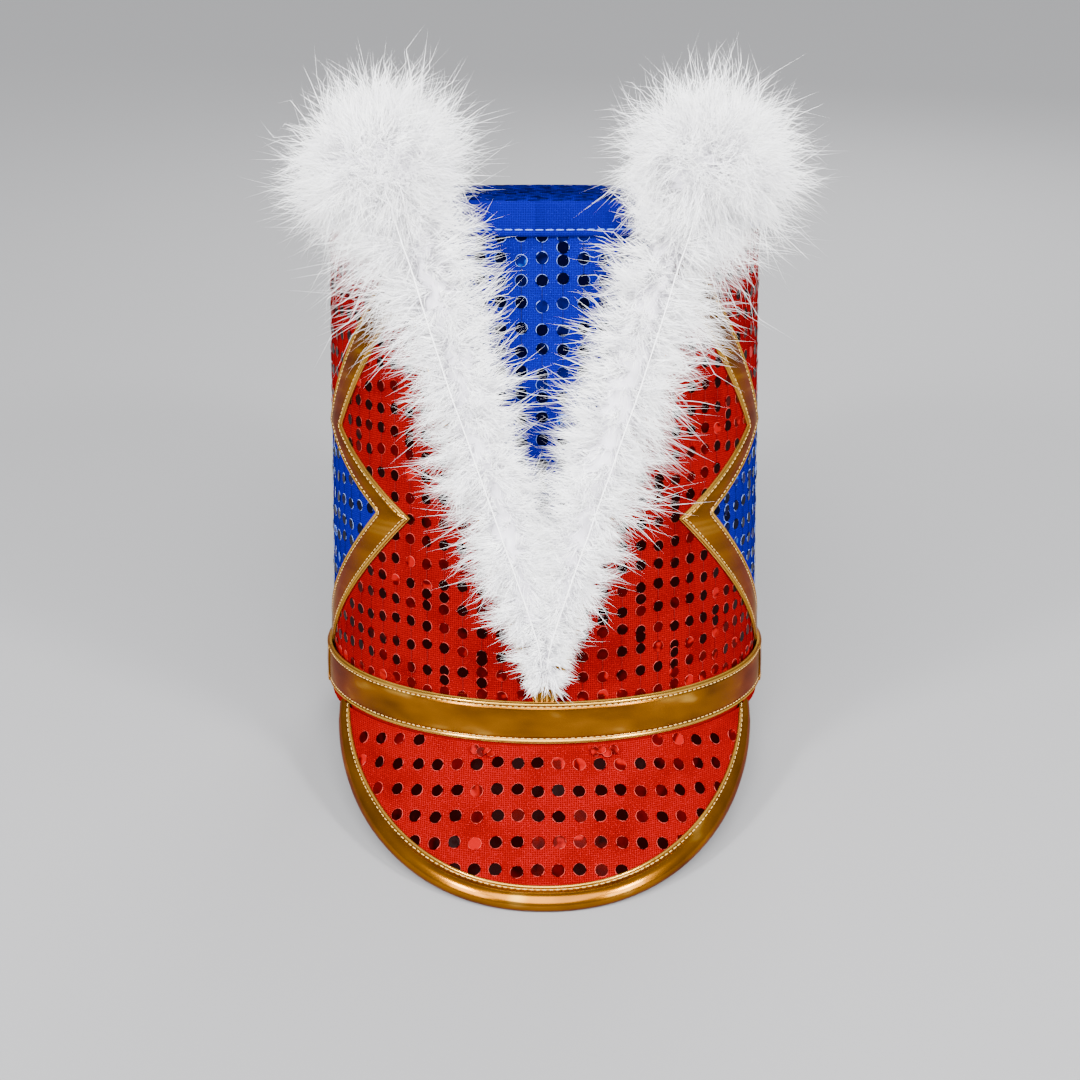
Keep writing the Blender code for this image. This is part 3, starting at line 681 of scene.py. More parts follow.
def stitchRow(path, pitch, length, width, height):
    # stitches end to end along a line on the crown
    middles, directions = along(path, pitch)
    return bars(middles, directions, outwards(middles), length, width, height)


def tapeStitches(inner, outer, side, lift=fold["lift"], thick=fold["thick"]):
    # a row of stitches in the groove along each edge
    share = np.clip(fold["stitchAt"] / flatWidth(inner, outer)[:, None], 0.0, 0.3)
    lines = [inner * (1 - part) + outer * part for part in (share, 1 - share)]
    level = lift + thick - fold["stitchSunk"]
    return [stitchRow(onCrown(side * line[:, 0], line[:, 1], level), fold["stitchPitch"],
                      fold["stitchLong"], fold["stitchWide"], fold["stitchHigh"]) for line in lines]


clear = vTape["halfDeg"] + seam
zigInner = [(vAngle(zigzag["innerStart"]) + clear, zigzag["innerStart"])] + zigzag["bends"]
zigOuter = [(vAngle(zigzag["outerStart"]) + clear, zigzag["outerStart"])]
zigOuter += [(angle + zigzag["wideDeg"], height) for angle, height in zigzag["bends"]]
keys = evenKeys(zigInner, zigzag["step"])
innerLine, outerLine = keyed(zigInner, keys), keyed(zigOuter, keys)
rightTape, uv, edgeHighlight = tapeShape(innerLine[::-1], outerLine[::-1])
goldStitches = []
for word, side in (("Right", 1.0), ("Left", -1.0)):
    makePiece("zigzagTape" + word, sided(rightTape, side), goldVinyl,
              "zigzag_trim_" + word.lower(), uv=uv, marks={"edgeHighlight": edgeHighlight})
    goldStitches += tapeStitches(innerLine, outerLine, side)

vHalf = vTape["halfDeg"]
vInner = vTape["innerFoot"] + [(vAngle(height) - vHalf, height) for height in vTape["legHeights"]]
vOuter = vTape["outerFoot"] + [(vAngle(height) + vHalf, height)
                               for height in [0.0407, 0.0600] + vTape["legHeights"]]
keys = evenKeys(vInner, vTape["step"])
innerLine, outerLine = keyed(vInner, keys), keyed(vOuter, keys)
leg, uv, edgeHighlight = tapeShape(innerLine, outerLine)
makePiece("vTape", joined([leg, sided(leg, -1.0)]), goldVinyl, "v_trim",
          uv=np.tile(uv, (2, 1)), marks={"edgeHighlight": np.tile(edgeHighlight, 2)})
goldStitches += tapeStitches(innerLine, outerLine, 1.0) + tapeStitches(innerLine, outerLine, -1.0)

strap = {"foot": 0.0040, "high": 0.0166, "lift": 0.0016, "thick": 0.0012, "rearThick": 0.0017,
         "seamDeg": 77.0, "seamGapDeg": 0.3, "stepDeg": 1.5, "uvRadius": 0.092}
backDeg = strap["seamDeg"] + strap["seamGapDeg"]
for word, startDeg, endDeg, thick in (
        ("Front", -strap["seamDeg"], strap["seamDeg"], strap["thick"]),
        ("Back", backDeg, 360.0 - backDeg, strap["rearThick"])):
    # a level band from one seam to the other
    count = int((endDeg - startDeg) / strap["stepDeg"]) + 1
    lower = stacked(np.linspace(startDeg, endDeg, count), strap["foot"])
    upper = lower + [0.0, strap["high"]]
    (points, faces), uv, edgeHighlight = tapeShape(lower, upper, strap["lift"], thick)
    uv = stacked(np.arctan2(points[:, 0], -points[:, 1]) * strap["uvRadius"], points[:, 2])
    makePiece("strap" + word, (points, flipped(faces)), goldVinyl,
              "strap_" + word.lower(), uv=uv, marks={"edgeHighlight": edgeHighlight})
    goldStitches += tapeStitches(lower, upper, 1.0, strap["lift"], thick)
print("gold tapes and strap made")


# Peak: a stiff sheet ruled by lines that all slope down at the same angle, with a rolled edge

peak = {
    "slopeDeg": 45.0, "halfWide": 0.0825, "long": 0.0622, "roundness": 2.33, "thick": 0.0024,
    "rootRadius": 0.0926, "rootHeight": 0.0022, "endDeg": 5.0, "stations": 141, "rows": 26,
    "underStrap": 0.0037, "strapOuter": 0.0945,
}
slope = math.radians(peak["slopeDeg"])


def peakNormal(x):
    # square to the ruling line and to the root's curve
    bend = x / np.sqrt(peak["rootRadius"] ** 2 - x * x)
    return unit(stacked(bend * math.sin(slope), -math.sin(slope), math.cos(slope)))


def onPeak(x, run, lift=0.0):
    # (x, -sqrt(R^2 - x^2) - run cos(slope), root height - run sin(slope)), raised by lift
    back = -np.sqrt(peak["rootRadius"] ** 2 - x * x) - run * math.cos(slope)
    middle = stacked(x, back, peak["rootHeight"] - run * math.sin(slope))
    return middle + peakNormal(x) * lift


def peakEdge(stations):
    # a half oval, x = -w cos^p, run = l sin^p, with p = 2 / roundness
    power = 2.0 / peak["roundness"]
    turn = np.radians(np.linspace(peak["endDeg"], 180.0 - peak["endDeg"], stations))
    across = -np.sign(np.cos(turn)) * np.abs(np.cos(turn)) ** power
    return peak["halfWide"] * across, peak["long"] * np.sin(turn) ** power


def clearOfCrown(shape):
    # pushed out to the root's radius, and kept under the strap where the strap overhangs
    points, faces = shape
    push = np.maximum(peak["rootRadius"] / np.maximum(fromAxis(points), 1e-6), 1.0)
    points[:, :2] *= push[:, None]
    near = fromAxis(points) < peak["strapOuter"]
    points[near, 2] = np.minimum(points[near, 2], peak["underStrap"])
    return points, faces


edgeX, edgeRun = peakEdge(peak["stations"])
x, share = np.meshgrid(edgeX, np.linspace(0.0, 1.0, peak["rows"]))
run = share * edgeRun
half = peak["thick"] / 2
cells = gridFaces(peak["rows"], peak["stations"])[:, ::-1]
makePiece("peakCloth", clearOfCrown(slab(onPeak(x, run, half), onPeak(x, run, -half), cells)), redCloth,
          "peak", uv=np.tile(stacked(x, run).reshape(-1, 2), (2, 1)))

roll = {
    "section": [  # (beyond the sheet's edge, above its middle)
        (-0.0066, 0.00155), (-0.0067, 0.0021), (-0.0063, 0.0026), (-0.0058, 0.0025),
        (-0.0054, 0.0021), (-0.0050, 0.0020), (-0.0046, 0.0022), (-0.0040, 0.0027),
        (-0.0030, 0.0031), (-0.0016, 0.0031), (-0.0002, 0.0028), (0.0011, 0.0022),
        (0.0020, 0.0012), (0.0023, 0.0), (0.0020, -0.0012), (0.0009, -0.0020),
        (-0.0008, -0.0026), (-0.0038, -0.0027), (-0.0060, -0.0025), (-0.0066, -0.00155),
        (-0.0030, -0.00150), (0.00035, -0.00150), (0.00035, 0.00150), (-0.0030, 0.00150)],
    "stitchAt": -0.0051, "stitchUp": 0.0021, "stitchPitch": 0.0024, "highlightAt": -0.0063,
    "stations": 181, "uvStep": 0.0016, "sharpDeg": 75.0,
}
rollX, rollRun = peakEdge(roll["stations"])
rollX = np.concatenate([rollX[:1], rollX, rollX[-1:]])
rollRun = np.concatenate([[0.0], rollRun, [0.0]])
outward = unit(np.cross(unit(np.gradient(onPeak(rollX, rollRun), axis=0)), peakNormal(rollX)))


def besideEdge(beyond, over):
    # a point this far beyond the sheet's edge and along its slope, and this far above its middle
    run = rollRun - beyond * outward[:, 2] / math.sin(slope)
    return onPeak(rollX + beyond * outward[:, 0], run, over)


section = np.array(roll["section"])
rings = np.stack([besideEdge(beyond, over) for beyond, over in section], axis=1)
uv = stacked(np.arange(len(rings))[:, None] * roll["uvStep"], lengthAlong(section))
# the roll's painted highlight lies only on its upper side, where the light falls
edgeHighlight = hump(section[:, 0], roll["highlightAt"], fold["highlightWide"]) * (section[:, 1] > 0)
makePiece("peakRoll", clearOfCrown((rings.reshape(-1, 3), tubeFaces(*rings.shape[:2]))), goldVinyl,
          "peak_binding", uv=uv.reshape(-1, 2), marks={"edgeHighlight": np.tile(edgeHighlight, len(rings))},
          sharpDeg=roll["sharpDeg"])

middles, directions = along(besideEdge(roll["stitchAt"], roll["stitchUp"]), roll["stitchPitch"])
outside = fromAxis(middles) > peak["rootRadius"] + 0.001
middles, directions = middles[outside], directions[outside]
goldStitches.append(bars(middles, directions, peakNormal(middles[:, 0]), fold["stitchLong"],
                         fold["stitchWide"], fold["stitchWide"]))
makePiece("goldStitches", joined(goldStitches), goldThread, sharpDeg=180.0)

bandLine = onCrown(np.linspace(0.0, 360.0, 361), band["foot"] + band["stitchUp"], band["stitchOut"])
shape = stitchRow(bandLine, band["stitchPitch"], band["stitchLong"], band["stitchWide"],
                  band["stitchHigh"])
makePiece("bandStitches", shape, paleThread, sharpDeg=180.0)
print("peak and stitches made")


# Sequins: flat foil discs in upright columns, joined by a chain of thread

sequin = {
    "radius": 0.00235, "thick": 0.00012, "bevel": 0.92, "sides": 12,
    "columns": 73, "firstDeg": -0.57, "rowPitch": 0.0083, "firstRow": 0.0215, "rows": 22,
    "drift": 0.0007, "extraShare": 0.05, "extraUp": 0.0047, "tiltDeg": 3.0, "lift": 0.00022,
    "marginDeg": 0.8, "underBand": 0.0010, "underStrap": 0.0012, "joinHeight": 0.0672,
    "strapHighlightReach": 0.0042, "strapHighlightTone": 0.84, "strapRange": 0.14, "frontTone": 0.85,
    "litAt": (4.4, 0.126), "seed": 5,
}
dice = np.random.default_rng(sequin["seed"])
up = np.array([0.0, 0.0, 1.0])


def sequinPiece(name, middles, normals, ups, tone, flat, material,
                radius=sequin["radius"], tiltDeg=sequin["tiltDeg"], rim=1.0):
    # each disc has a lower ring, a slightly smaller upper ring and a flat face on each, and is
    # tilted at random; its tone, 0 to 1, picks the foil's painted reflection, and rim the painted highlight
    # on its lower ring
    sides = sequin["sides"]
    tilt = np.radians(tiltDeg) * np.clip(dice.standard_normal((len(middles), 2)), -1.8, 1.8)
    rights = unit(np.cross(ups, normals))
    facing = unit(normals + rights * tilt[:, :1] + ups * tilt[:, 1:])
    rights = unit(np.cross(ups, facing))
    ring = spokes(rights, np.cross(facing, rights), sides) * radius
    lower = middles[:, None] + ring
    upper = lower + facing[:, None] * sequin["thick"] - ring * (1 - sequin["bevel"])
    points = np.concatenate([lower, upper], axis=1)
    uv = flat[:, None] + (points - middles[:, None])[..., [0, 2]]
    marks = {"edge": np.tile(np.repeat([rim, 0.0], sides), len(middles)),
             "tone": np.repeat(tone, 2 * sides)}
    faces = [repeated(cells, len(middles), 2 * sides) for cells in tubeFaces(2, sides)]
    makePiece(name, (points.reshape(-1, 3), faces), material, uv=uv.reshape(-1, 2),
              marks=marks, sharpDeg=30.0)


def edgeAngle(height, edge):
    # the angle of a trim's edge at each height
    angles, heights = np.transpose(sorted(edge, key=lambda corner: corner[1]))
    return np.interp(height, heights, angles)


def hiddenByTrim(angle, height):
    # under the band, the strap, the V tape or a zigzag tape by more than the margin
    turn = np.abs(angle)
    margin = sequin["marginDeg"]
    inZigzag = (turn > edgeAngle(height, zigInner) + margin) & (turn < edgeAngle(height, zigOuter) - margin)
    inZigzag &= height < zigzag["outerStart"]
    vLeft = np.where(height < sequin["joinHeight"], -9.0, vAngle(height) - vHalf)
    inV = (turn < edgeAngle(height, vOuter) - margin) & (turn > vLeft + margin)
    return (inZigzag | inV | (height > band["foot"] + sequin["underBand"])
            | (height < strap["foot"] + strap["high"] - sequin["underStrap"]))


column = np.arange(sequin["columns"])[:, None]
row = np.arange(sequin["rows"])
angle = sequin["firstDeg"] + column * 360.0 / sequin["columns"] + 0 * row
angle = (angle + 180.0) % 360.0 - 180.0
wander = sequin["drift"] * np.sin(column * 0.9 + row * 1.7)
height = sequin["firstRow"] + row * sequin["rowPitch"] + wander
height = height + dice.normal(0.0, sequin["drift"] / 2, height.shape)
extra = dice.random(height.shape) < sequin["extraShare"]
angle = np.concatenate([angle.ravel(), angle[extra]])
height = np.concatenate([height.ravel(), height[extra] + sequin["extraUp"]])
seen = ~hiddenByTrim(angle, height)
angle, height = angle[seen], height[seen]
tone = dice.random(len(angle))
# painted highlight: discs just above the strap, where the foil tips down, get a bright tone
nearStrap = height < strap["foot"] + strap["high"] + sequin["strapHighlightReach"]
tone[nearStrap] = sequin["strapHighlightTone"] + sequin["strapRange"] * tone[nearStrap]
inFrontBlue = (np.abs(angle) < vAngle(height)) & (height > crown["blueApex"])
inFront = np.abs(angle) < frontEdge(height)
isBlue = inFrontBlue | (~inFront & (height < crown["colourSeam"]))
# painted reflection: the front blue discs are painted a little darker
tone[inFrontBlue] *= sequin["frontTone"]
# painted glint: the one disc nearest this place is painted fully bright
litDeg, litHeight = sequin["litAt"]
tone[np.argmin(np.abs(angle - litDeg) / 1000.0 + np.abs(height - litHeight))] = 1.0
middles, normals = onCrown(angle, height, sequin["lift"]), crownNormal(angle)
for name, chosen, material, slotName in (
        ("frontBlueSequins", inFrontBlue, blueFoil, "blue_sequin"),
        ("frontRedSequins", inFront & ~inFrontBlue, redFoil, "red_sequin"),
        ("sideRedSequins", ~inFront & ~isBlue, redFoil, "red_sequin"),
        ("sideBlueSequins", ~inFront & isBlue, blueFoil, "blue_sequin")):
    flat = stacked(angle, height)[chosen] * flatMetres
    sequinPiece(name, middles[chosen], normals[chosen], up, tone[chosen], flat, material)

# The chain of thread between one disc and the next above it in its column.
chain = {"leastGap": 0.0052, "mostGap": 0.0125, "reach": 0.9, "lift": 0.00012, "wide": 0.00032,
         "high": 0.00022}
order = np.lexsort((height, np.round(angle, 2)))
angle, height, isBlue = angle[order], height[order], isBlue[order]
gap = np.diff(height)
linked = (np.abs(np.diff(angle)) < 0.01) & (gap > chain["leastGap"]) & (gap < chain["mostGap"])
linked &= isBlue[1:] == isBlue[:-1]
low = height[:-1][linked] + sequin["radius"] * chain["reach"]
high = height[1:][linked] - sequin["radius"] * chain["reach"]
turn, blue = angle[:-1][linked], isBlue[:-1][linked]
middles, normals = onCrown(turn, (low + high) / 2, chain["lift"]), crownNormal(turn)
for word, chosen, material in (("blue", blue, darkBlueThread), ("red", ~blue, darkRedThread)):
    shape = bars(middles[chosen], up, normals[chosen], (high - low)[chosen][:, None], chain["wide"],
                 chain["high"])
    makePiece(word + "ChainThread", shape, material, sharpDeg=180.0)

# On the top the cloth lies flat, with its threads from side to side, each from its own start.
topSequin = {"pitch": 0.0075, "reach": 12, "start": 0.0021, "inset": 0.0032, "dark": 0.57,
             "light": 0.82, "tiltDeg": 1.0, "rim": 0.1}
reach = np.arange(-topSequin["reach"], topSequin["reach"] + 1)
x, y = np.meshgrid(reach * sequin["rowPitch"], reach * topSequin["pitch"] + topSequin["start"])
x = (x + dice.random((len(reach), 1)) * sequin["rowPitch"]).ravel()
y = y.ravel() + dice.normal(0.0, 0.0004, y.size)
onTop = np.hypot(x, y) < top["radius"] - topSequin["inset"]
x, y = x[onTop], y[onTop]
middles = stacked(x, y, domeHeight(np.hypot(x, y)) + sequin["lift"])
normals = unit(middles * [1.0, 1.0, 0.0] * 2 * top["dome"] / top["radius"] ** 2 + up)
# painted reflection: the top's discs get mostly dark tones, and their rim a faint painted highlight
tone = topSequin["dark"] + (topSequin["light"] - topSequin["dark"]) * dice.random(len(x))
sequinPiece("topSequins", middles, normals, unit(np.cross(normals, [1.0, 0.0, 0.0])), tone,
            middles[:, :2], topFoil, tiltDeg=topSequin["tiltDeg"], rim=topSequin["rim"])

# On the peak the same cloth runs down the slope, with its rows straight from side to side.
peakSequin = {"columnPitch": 0.0077, "firstColumn": -0.0023, "rowPitch": 0.0105, "firstRow": -0.0031,
              "rows": 7, "bow": 2.4, "inset": 0.0068, "least": 0.0012, "radius": 0.0026}
# A few discs are crushed where the strap meets the peak, and are painted bright, a painted highlight.
crushed = {"x": [-0.0262, -0.0240, -0.0222, -0.0204, 0.0192, 0.0214, 0.0236, 0.0262],
           "run": [0.0032, 0.0040, 0.0030, 0.0042, 0.0034, 0.0030, 0.0042, 0.0034],
           "radius": 0.0019, "lift": 0.0010, "tone": 0.93, "tiltDeg": 20.0}


def peakDiscs(name, x, run, lift, tone, radius, tiltDeg):
    # discs at (x, run) on the sheet's upper face, with their upper sides up the slope
    ups = np.array([0.0, math.cos(slope), math.sin(slope)])
    sequinPiece(name, onPeak(x, run, peak["thick"] / 2 + lift), peakNormal(x), ups, tone,
                stacked(x, run), redFoil, radius=radius, tiltDeg=tiltDeg)


x, run = np.meshgrid(peakSequin["firstColumn"] + np.arange(-11, 12) * peakSequin["columnPitch"],
                     peakSequin["firstRow"] + np.arange(-2, peakSequin["rows"]) * peakSequin["rowPitch"])
run = run + peakSequin["bow"] * x ** 2
x = x.ravel() + dice.normal(0.0, 0.0002, x.size)
run = run.ravel() + dice.normal(0.0, 0.0003, run.size)
inside = np.abs(x) < peak["halfWide"] - peakSequin["inset"]
inside &= (run > peakSequin["least"]) & (run < np.interp(x, edgeX, edgeRun) - peakSequin["inset"])
x, run = x[inside], run[inside]
peakDiscs("peakSequins", x, run, sequin["lift"], dice.random(len(x)), peakSequin["radius"],
          sequin["tiltDeg"])
print("sequins made:", len(angle) + len(x), "on the crown and peak")
x, run = np.array(crushed["x"]), np.array(crushed["run"])
peakDiscs("crushedSequins", x, run, crushed["lift"], np.full(len(x), crushed["tone"]),
          crushed["radius"], crushed["tiltDeg"])


# Down: fine tapering barbs in tufts, each barb a three sided needle along a bent line

barb = {"taper": 0.55, "slowTurn": 3.0, "fastTurn": 6.5, "stray": 0.0007, "leastFan": 0.3,
        "wave": 0.85, "leastLong": 0.72, "moreLong": 0.38, "leastWide": 0.75, "moreWide": 0.50,
        "standOff": 0.0018}
innerDown = {"barbs": 13, "wide": 0.00046, "gather": 0.10, "curl": 0.18, "segments": 2}
fringeDown = {"tufts": 250, "barbs": 20, "wide": 0.00025, "fan": 0.70, "gather": 0.50,
              "climb": 0.50, "curl": 0.40, "segments": 4}
boa = {
    "angles": [0.5, 0.9, 3.8, 7.9, 13.0, 18.9, 25.4, 30.3],
    "heights": [0.0330, 0.0464, 0.0654, 0.0892, 0.1176, 0.1489, 0.1842, 0.2060],
    "lift": 0.0080,
    "inner": {**innerDown, "tufts": 400, "long": 0.0150, "fan": 0.55, "climb": 0.15, "bend": 0.32,
              "nearDeg": 0.0},
    "fringe": {**fringeDown, "long": 0.0200, "bend": 0.58, "nearDeg": 16.0},
    "farDeg": 102.0, "crowd": 0.96, "sideways": 0.8, "lean": -0.08, "leanRange": 0.30,
    "tailLean": 1.2, "flatten": 0.20, "press": 0.10, "leastLong": 0.78, "moreLong": 0.42,
    "stretchAt": [0.0, 0.05, 0.12, 0.24, 0.40, 0.70, 0.85, 1.0],
    "outerStretch": [0.24, 0.36, 0.50, 0.62, 0.74, 0.86, 1.04, 1.50],
    "innerStretch": [0.24, 0.34, 0.50, 0.64, 0.74, 0.74, 0.76, 0.78],
    "tailShare": 0.06, "rootOut": 0.0035,
    "coreRadius": 0.0056, "coreWide": 1.3, "coreTail": 0.35, "seed": 21,
}
puff = {
    "angleDeg": 37.6, "height": 0.2192, "lift": 0.0100,
    "inner": {**innerDown, "tufts": 360, "from": 0.0120, "long": 0.0160, "fan": 0.50,
              "climb": 0.20, "bend": 0.42},
    "fringe": {**fringeDown, "from": 0.0140, "long": 0.0210, "bend": 0.70},
    "leastLong": 0.80, "moreLong": 0.38, "coreRadius": 0.0175, "droop": 0.12, "seed": 43,
}


def offTheCrown(points, least):
    # pushed straight out of the crown's side, or up off its top, whichever is nearer
    wall = coneRadius(np.clip(points[:, 2], 0.0, crown["height"])) + barb["standOff"] + least
    radius = np.maximum(fromAxis(points), 1e-6)
    lid = crown["height"] + top["dome"] + least
    inside = (radius < wall) & (points[:, 2] < lid)
    upwards = inside & (lid - points[:, 2] < wall - radius)
    sideways = inside & ~upwards
    points[upwards, 2] = lid
    points[sideways, :2] *= (wall / radius)[sideways, None]
    return points


def randomUnit(rng, shape):
    # directions spread evenly over all of space
    return unit(rng.standard_normal(shape + (3,)))


def squareTo(vectors, ahead):
    # the vectors without their part along ahead, and the directions across both
    out = unit(vectors - ahead * (vectors * ahead).sum(axis=1, keepdims=True))
    return out, np.cross(ahead, out)


def needles(roots, directions, bends, waves, lengths, widths, segments):
    # P(t) = root + length (direction t + bend t^2 + wave t sin(turn t)), width falling to a point
    count = len(roots)
    t = np.linspace(0.0, 1.0, segments + 1)[None, :, None]
    turns = np.linspace(barb["slowTurn"], barb["fastTurn"], count)[:, None, None]
    sway = np.sin(t * turns) * t
    line = directions[:, None] * t + bends[:, None] * t ** 2 + waves[:, None] * sway
    line = roots[:, None] + lengths[:, None, None] * line
    side = unit(np.cross(directions, np.roll(directions, 1, axis=1) + 0.01))
    taper = (1.0 - t[:, :-1]) ** barb["taper"] * widths[:, None, None] / 2
    rings = line[:, :-1, None] + spokes(side, np.cross(directions, side), 3)[:, None] * taper[..., None]
    points = np.concatenate([rings.reshape(count, -1, 3), line[:, -1:]], axis=1).reshape(-1, 3)
    last = (segments - 1) * 3
    ends = np.array([[0, 2, 1], [last, last + 1, last + 3], [last + 1, last + 2, last + 3],
                     [last + 2, last, last + 3]])
    faces = [repeated(cells, count, last + 4) for cells in (gridFaces(segments, 3, wrap=True), ends)]
    return points, faces, np.tile(np.append(np.repeat(t[0, :-1, 0], 3), 1.0), count)


def tuftNeedles(rng, roots, aims, curls, stretch, kind):
    # barbs leave the tuft's curved shaft in turn, shaft(s) = root + length (aim s + curl s^2),
    # spread out by the fan, and are gathered back towards the shaft's tip
    tufts, barbs = len(aims), kind["barbs"]
    climb = kind["climb"] * (np.arange(barbs) + rng.random((tufts, barbs)))[..., None] / barbs
    long = (stretch * kind["long"])[:, None, None]
    aims, curls = aims[:, None], curls[:, None]
    starts = roots[:, None] + long * (aims * climb + curls * climb ** 2)
    starts = starts + rng.normal(0.0, barb["stray"], starts.shape)
    fan = randomUnit(rng, (tufts, barbs)) * kind["fan"]
    fan = fan * (barb["leastFan"] + (1.0 - barb["leastFan"]) * rng.random((tufts, barbs, 1)))
    directions = unit(aims + 2.0 * curls * climb + fan)
    bends = curls * (1.0 - climb) - fan * kind["gather"]
    bends = bends + randomUnit(rng, (tufts, barbs)) * kind["curl"]
    waves = randomUnit(rng, (tufts, barbs)) * kind["curl"] * barb["wave"]
    lengths = (long * (1.06 - climb))[..., 0]
    lengths = lengths * (barb["leastLong"] + barb["moreLong"] * rng.random((tufts, barbs)))
    widths = kind["wide"] * (barb["leastWide"] + barb["moreWide"] * rng.random((tufts, barbs)))
    rows = [vectors.reshape(-1, 3) for vectors in (starts, directions, bends, waves)]
    points, faces, tips = needles(*rows, lengths.ravel(), widths.ravel(), kind["segments"])
    return offTheCrown(points, 0.0004), faces, tips


def lumpyTube(path, outs, acrosses, rng, sides=18):
    # an oval carried along the line, its radius rippled at random, closed by a point at each end
    ripple = 1.0 + 0.10 * rng.standard_normal((len(path), sides))
    swell = np.sin(np.linspace(0.12, math.pi - 0.12, len(path))) ** 0.35
    rings = path[:, None] + spokes(outs, acrosses, sides) * (ripple * swell[:, None])[..., None]
    points, faces = pointedTube(rings, path[0], path[-1])
    return offTheCrown(points, 0.0003), faces, np.zeros(len(points))


def boaLine(share):
    # the boa's middle line from its tail, share 0, to the foot of the puff, share 1
    height = boa["heights"][0] + (boa["heights"][-1] - boa["heights"][0]) * share
    angle = np.interp(height, boa["heights"], boa["angles"])
    return angle, onCrown(angle, height, boa["lift"])


def boaTufts(rng, kind):
    # tufts leave the line sideways, from nearly straight out to a little back, and those at the
    # tail lean down over its end
    tufts = kind["tufts"]
    share = np.sort(rng.random(tufts) ** boa["crowd"])
    angle, middle = boaLine(share)
    upwards = unit(boaLine(share + 0.01)[1] - middle)
    out, across = squareTo(crownNormal(angle), upwards)
    swing = kind["nearDeg"] + (boa["farDeg"] - kind["nearDeg"]) * rng.random(tufts) ** boa["sideways"]
    swing = np.radians(swing) * rng.choice([-1.0, 1.0], tufts)
    tail = np.clip(1.0 - share / boa["tailShare"], 0.0, 1.0)
    lean = rng.normal(boa["lean"], boa["leanRange"], tufts) - boa["tailLean"] * tail
    aims = out * np.cos(swing)[:, None] + across * np.sin(swing)[:, None] + upwards * lean[:, None]
    aims = unit(aims)
    curls = across * np.sign(np.sin(swing))[:, None] * boa["flatten"] - out * boa["press"]
    curls = curls + randomUnit(rng, (tufts,)) * kind["bend"]
    outer, inner = (np.interp(share, boa["stretchAt"], boa[key]) for key in ("outerStretch", "innerStretch"))
    stretch = boa["leastLong"] + boa["moreLong"] * rng.random(tufts)
    stretch = stretch * np.where(swing > 0, outer, inner)
    return tuftNeedles(rng, middle + aims * boa["rootOut"], aims, curls, stretch, kind)


def boaShapes(rng):
    # a slim core along the line, thinner at the tail, under two coats of tufts
    share = np.linspace(0.0, 1.0, 80)
    angle, path = boaLine(share)
    out, across = squareTo(crownNormal(angle), unit(np.gradient(path, axis=0)))
    radius = boa["coreRadius"] * np.interp(share, [0.0, 0.16], [boa["coreTail"], 1.0])[:, None]
    core = lumpyTube(path, out * radius, across * radius * boa["coreWide"], rng)
    return [boaTufts(rng, boa["fringe"]), boaTufts(rng, boa["inner"]), core]


def puffTufts(rng, kind, centre):
    # tufts leave the centre every way but into the crown
    aims = randomUnit(rng, (kind["tufts"] * 2,))
    tips = centre + aims * (kind["from"] + kind["long"] * 0.7)
    buried = (fromAxis(tips) < crown["topRadius"]) & (tips[:, 2] < crown["height"])
    aims = aims[~buried][:kind["tufts"]]
    curls = np.cross(aims, randomUnit(rng, (len(aims),))) * kind["bend"] - [0.0, 0.0, puff["droop"]]
    stretch = puff["leastLong"] + puff["moreLong"] * rng.random(len(aims))
    return tuftNeedles(rng, centre + aims * kind["from"], aims, curls, stretch, kind)


def puffShapes(rng):
    # a round core under two coats of tufts
    centre = onCrown(puff["angleDeg"], puff["height"], puff["lift"])
    rise = np.linspace(-1.0, 1.0, 24)[:, None]
    out = crownNormal(np.array([puff["angleDeg"]])) * np.sqrt(np.maximum(1.0 - rise ** 2, 0.01))
    out = out * puff["coreRadius"]
    core = lumpyTube(centre + rise * up * puff["coreRadius"], out, np.cross(up, out), rng)
    return [puffTufts(rng, puff["fringe"], centre), puffTufts(rng, puff["inner"], centre), core]


for word, side in (("Left", -1.0), ("Right", 1.0)):
    for name, seed, makeShapes in (("boa", boa["seed"], boaShapes), ("puff", puff["seed"], puffShapes)):
        shapes = makeShapes(np.random.default_rng(seed + int(side > 0)))
        tips = np.concatenate([shape[2] for shape in shapes])
        makePiece(name + word, sided(joined([shape[:2] for shape in shapes]), side), whiteBarbs,
                  name + "_" + word.lower(), marks={"tip": tips}, sharpDeg=180.0)

# The thread that each boa is spun on shows as a thin line along the parting of the down.
boaThread = {
    "radius": 0.00024, "sides": 5, "points": 130, "blur": 9, "wave": 0.0004,
    "angles": [0.5, 0.9, 3.8, 7.9, 13.0, 18.9, 25.0, 27.0, 26.4, 26.8],
    "heights": [0.0350, 0.0464, 0.0654, 0.0892, 0.1176, 0.1489, 0.1842, 0.1995, 0.2068, 0.2128],
    "lifts": [0.0140, 0.0182, 0.0208, 0.0222, 0.0227, 0.0230, 0.0234, 0.0270, 0.0320, 0.0362],
}
rows = np.arange(len(boaThread["heights"]))
stops = np.linspace(0.0, rows[-1], boaThread["points"])
angle, height, lift = (np.interp(stops, rows, boaThread[key]) for key in ("angles", "heights", "lifts"))
path = onCrown(angle, height, lift + boaThread["wave"] * np.sin(stops * 7.0))
blur = np.ones(boaThread["blur"]) / boaThread["blur"]
path = stacked(*(np.convolve(line, blur, mode="valid") for line in path.T))
ahead = unit(np.gradient(path, axis=0))
across = unit(np.cross(ahead, outwards(path)))
rings = path[:, None] + spokes(np.cross(across, ahead), across, boaThread["sides"]) * boaThread["radius"]
thread = rings.reshape(-1, 3), tubeFaces(*rings.shape[:2])
makePiece("boaThreads", joined([thread, sided(thread, -1.0)]), whiteThread,
          sharpDeg=180.0)
print("boas and puffs made")


# Camera, floor and light

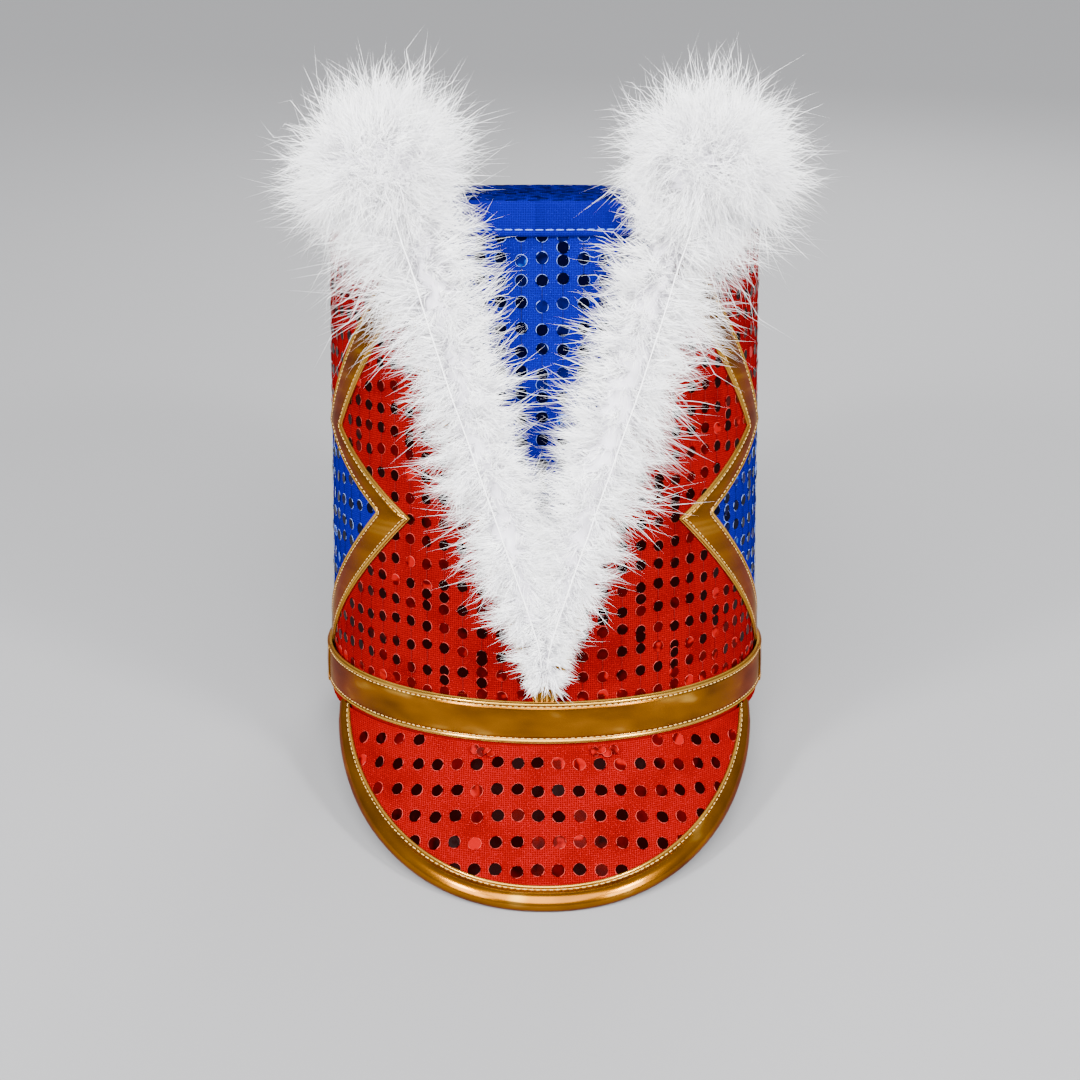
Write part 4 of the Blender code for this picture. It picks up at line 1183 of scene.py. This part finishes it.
camera = {"place": (0.0, -0.61098, 0.37040), "tiltDeg": 65.1623, "lens": 53.87, "sensor": 36.0,
          "shift": -4.5 / 1080.0}
lens = bpy.data.cameras.new("camera")
lens.sensor_width = camera["sensor"]
lens.lens = camera["lens"]
lens.shift_x = camera["shift"]
lens.clip_start = 0.01
viewer = bpy.data.objects.new("camera", lens)
viewer.location = camera["place"]
viewer.rotation_euler = (math.radians(camera["tiltDeg"]), 0.0, 0.0)
bpy.context.scene.collection.objects.link(viewer)
bpy.context.scene.camera = viewer

studio = {
    "floorHalf": 25.0, "floorColour": (0.19, 0.19, 0.195, 1),
    "worldColour": (0.85, 0.87, 0.90, 1), "worldStrength": 0.54,
    "skyFrom": (0.0, -0.62, 0.78), "skySpreadDeg": 50.0, "skyStrength": 8.0,
    "lights": [  # name, place, target, size, power
        ("keyLight", (-0.85, -0.95, 0.60), (0.0, 0.0, 0.12), 0.50, 17.0),
        ("fillLight", (0.90, -0.90, 0.55), (0.0, 0.0, 0.12), 0.50, 15.0),
        ("leftGlint", (-0.62, -0.55, 0.68), (0.0, -0.08, 0.02), 0.14, 15.0),
        ("rightGlint", (0.62, -0.55, 0.68), (0.0, -0.08, 0.02), 0.14, 15.0),
        ("rearLight", (0.3, 1.1, 0.9), (0.0, 0.0, 0.12), 0.50, 18.0),
    ],
}
floorMaterial = newFinish("paleFloor", {"Base Color": studio["floorColour"], "Roughness": 0.8})[0]
far = studio["floorHalf"]
floorMesh = bpy.data.meshes.new("floor")
floorMesh.from_pydata([(-far, -far, 0), (far, -far, 0), (far, far, 0), (-far, far, 0)], [], [(0, 1, 2, 3)])
floorMesh.materials.append(floorMaterial)
floor = bpy.data.objects.new("floor", floorMesh)
bpy.context.scene.collection.objects.link(floor)

world = bpy.data.worlds.new("studio")
world.use_nodes = True
feed(world.node_tree.nodes["Background"], {
    "Color": studio["worldColour"], "Strength": studio["worldStrength"]})
bpy.context.scene.world = world


def hang(lamp, position, target):
    # turned so that the lamp's own down axis points from its position to the target
    away = np.array(position) - np.array(target)
    tilt = math.atan2(math.hypot(away[0], away[1]), away[2])
    holder = bpy.data.objects.new(lamp.name, lamp)
    holder.location = position
    holder.rotation_euler = (tilt, 0.0, math.atan2(away[1], away[0]) + math.pi / 2)
    bpy.context.scene.collection.objects.link(holder)


for name, position, target, size, power in studio["lights"]:
    lamp = bpy.data.lights.new(name, "AREA")
    lamp.shape = "SQUARE"
    lamp.size = size
    lamp.energy = power
    hang(lamp, position, target)
sky = bpy.data.lights.new("skyLight", "SUN")
sky.angle = math.radians(studio["skySpreadDeg"])
sky.energy = studio["skyStrength"]
hang(sky, studio["skyFrom"], (0.0, 0.0, 0.0))
print("camera, floor and light made")
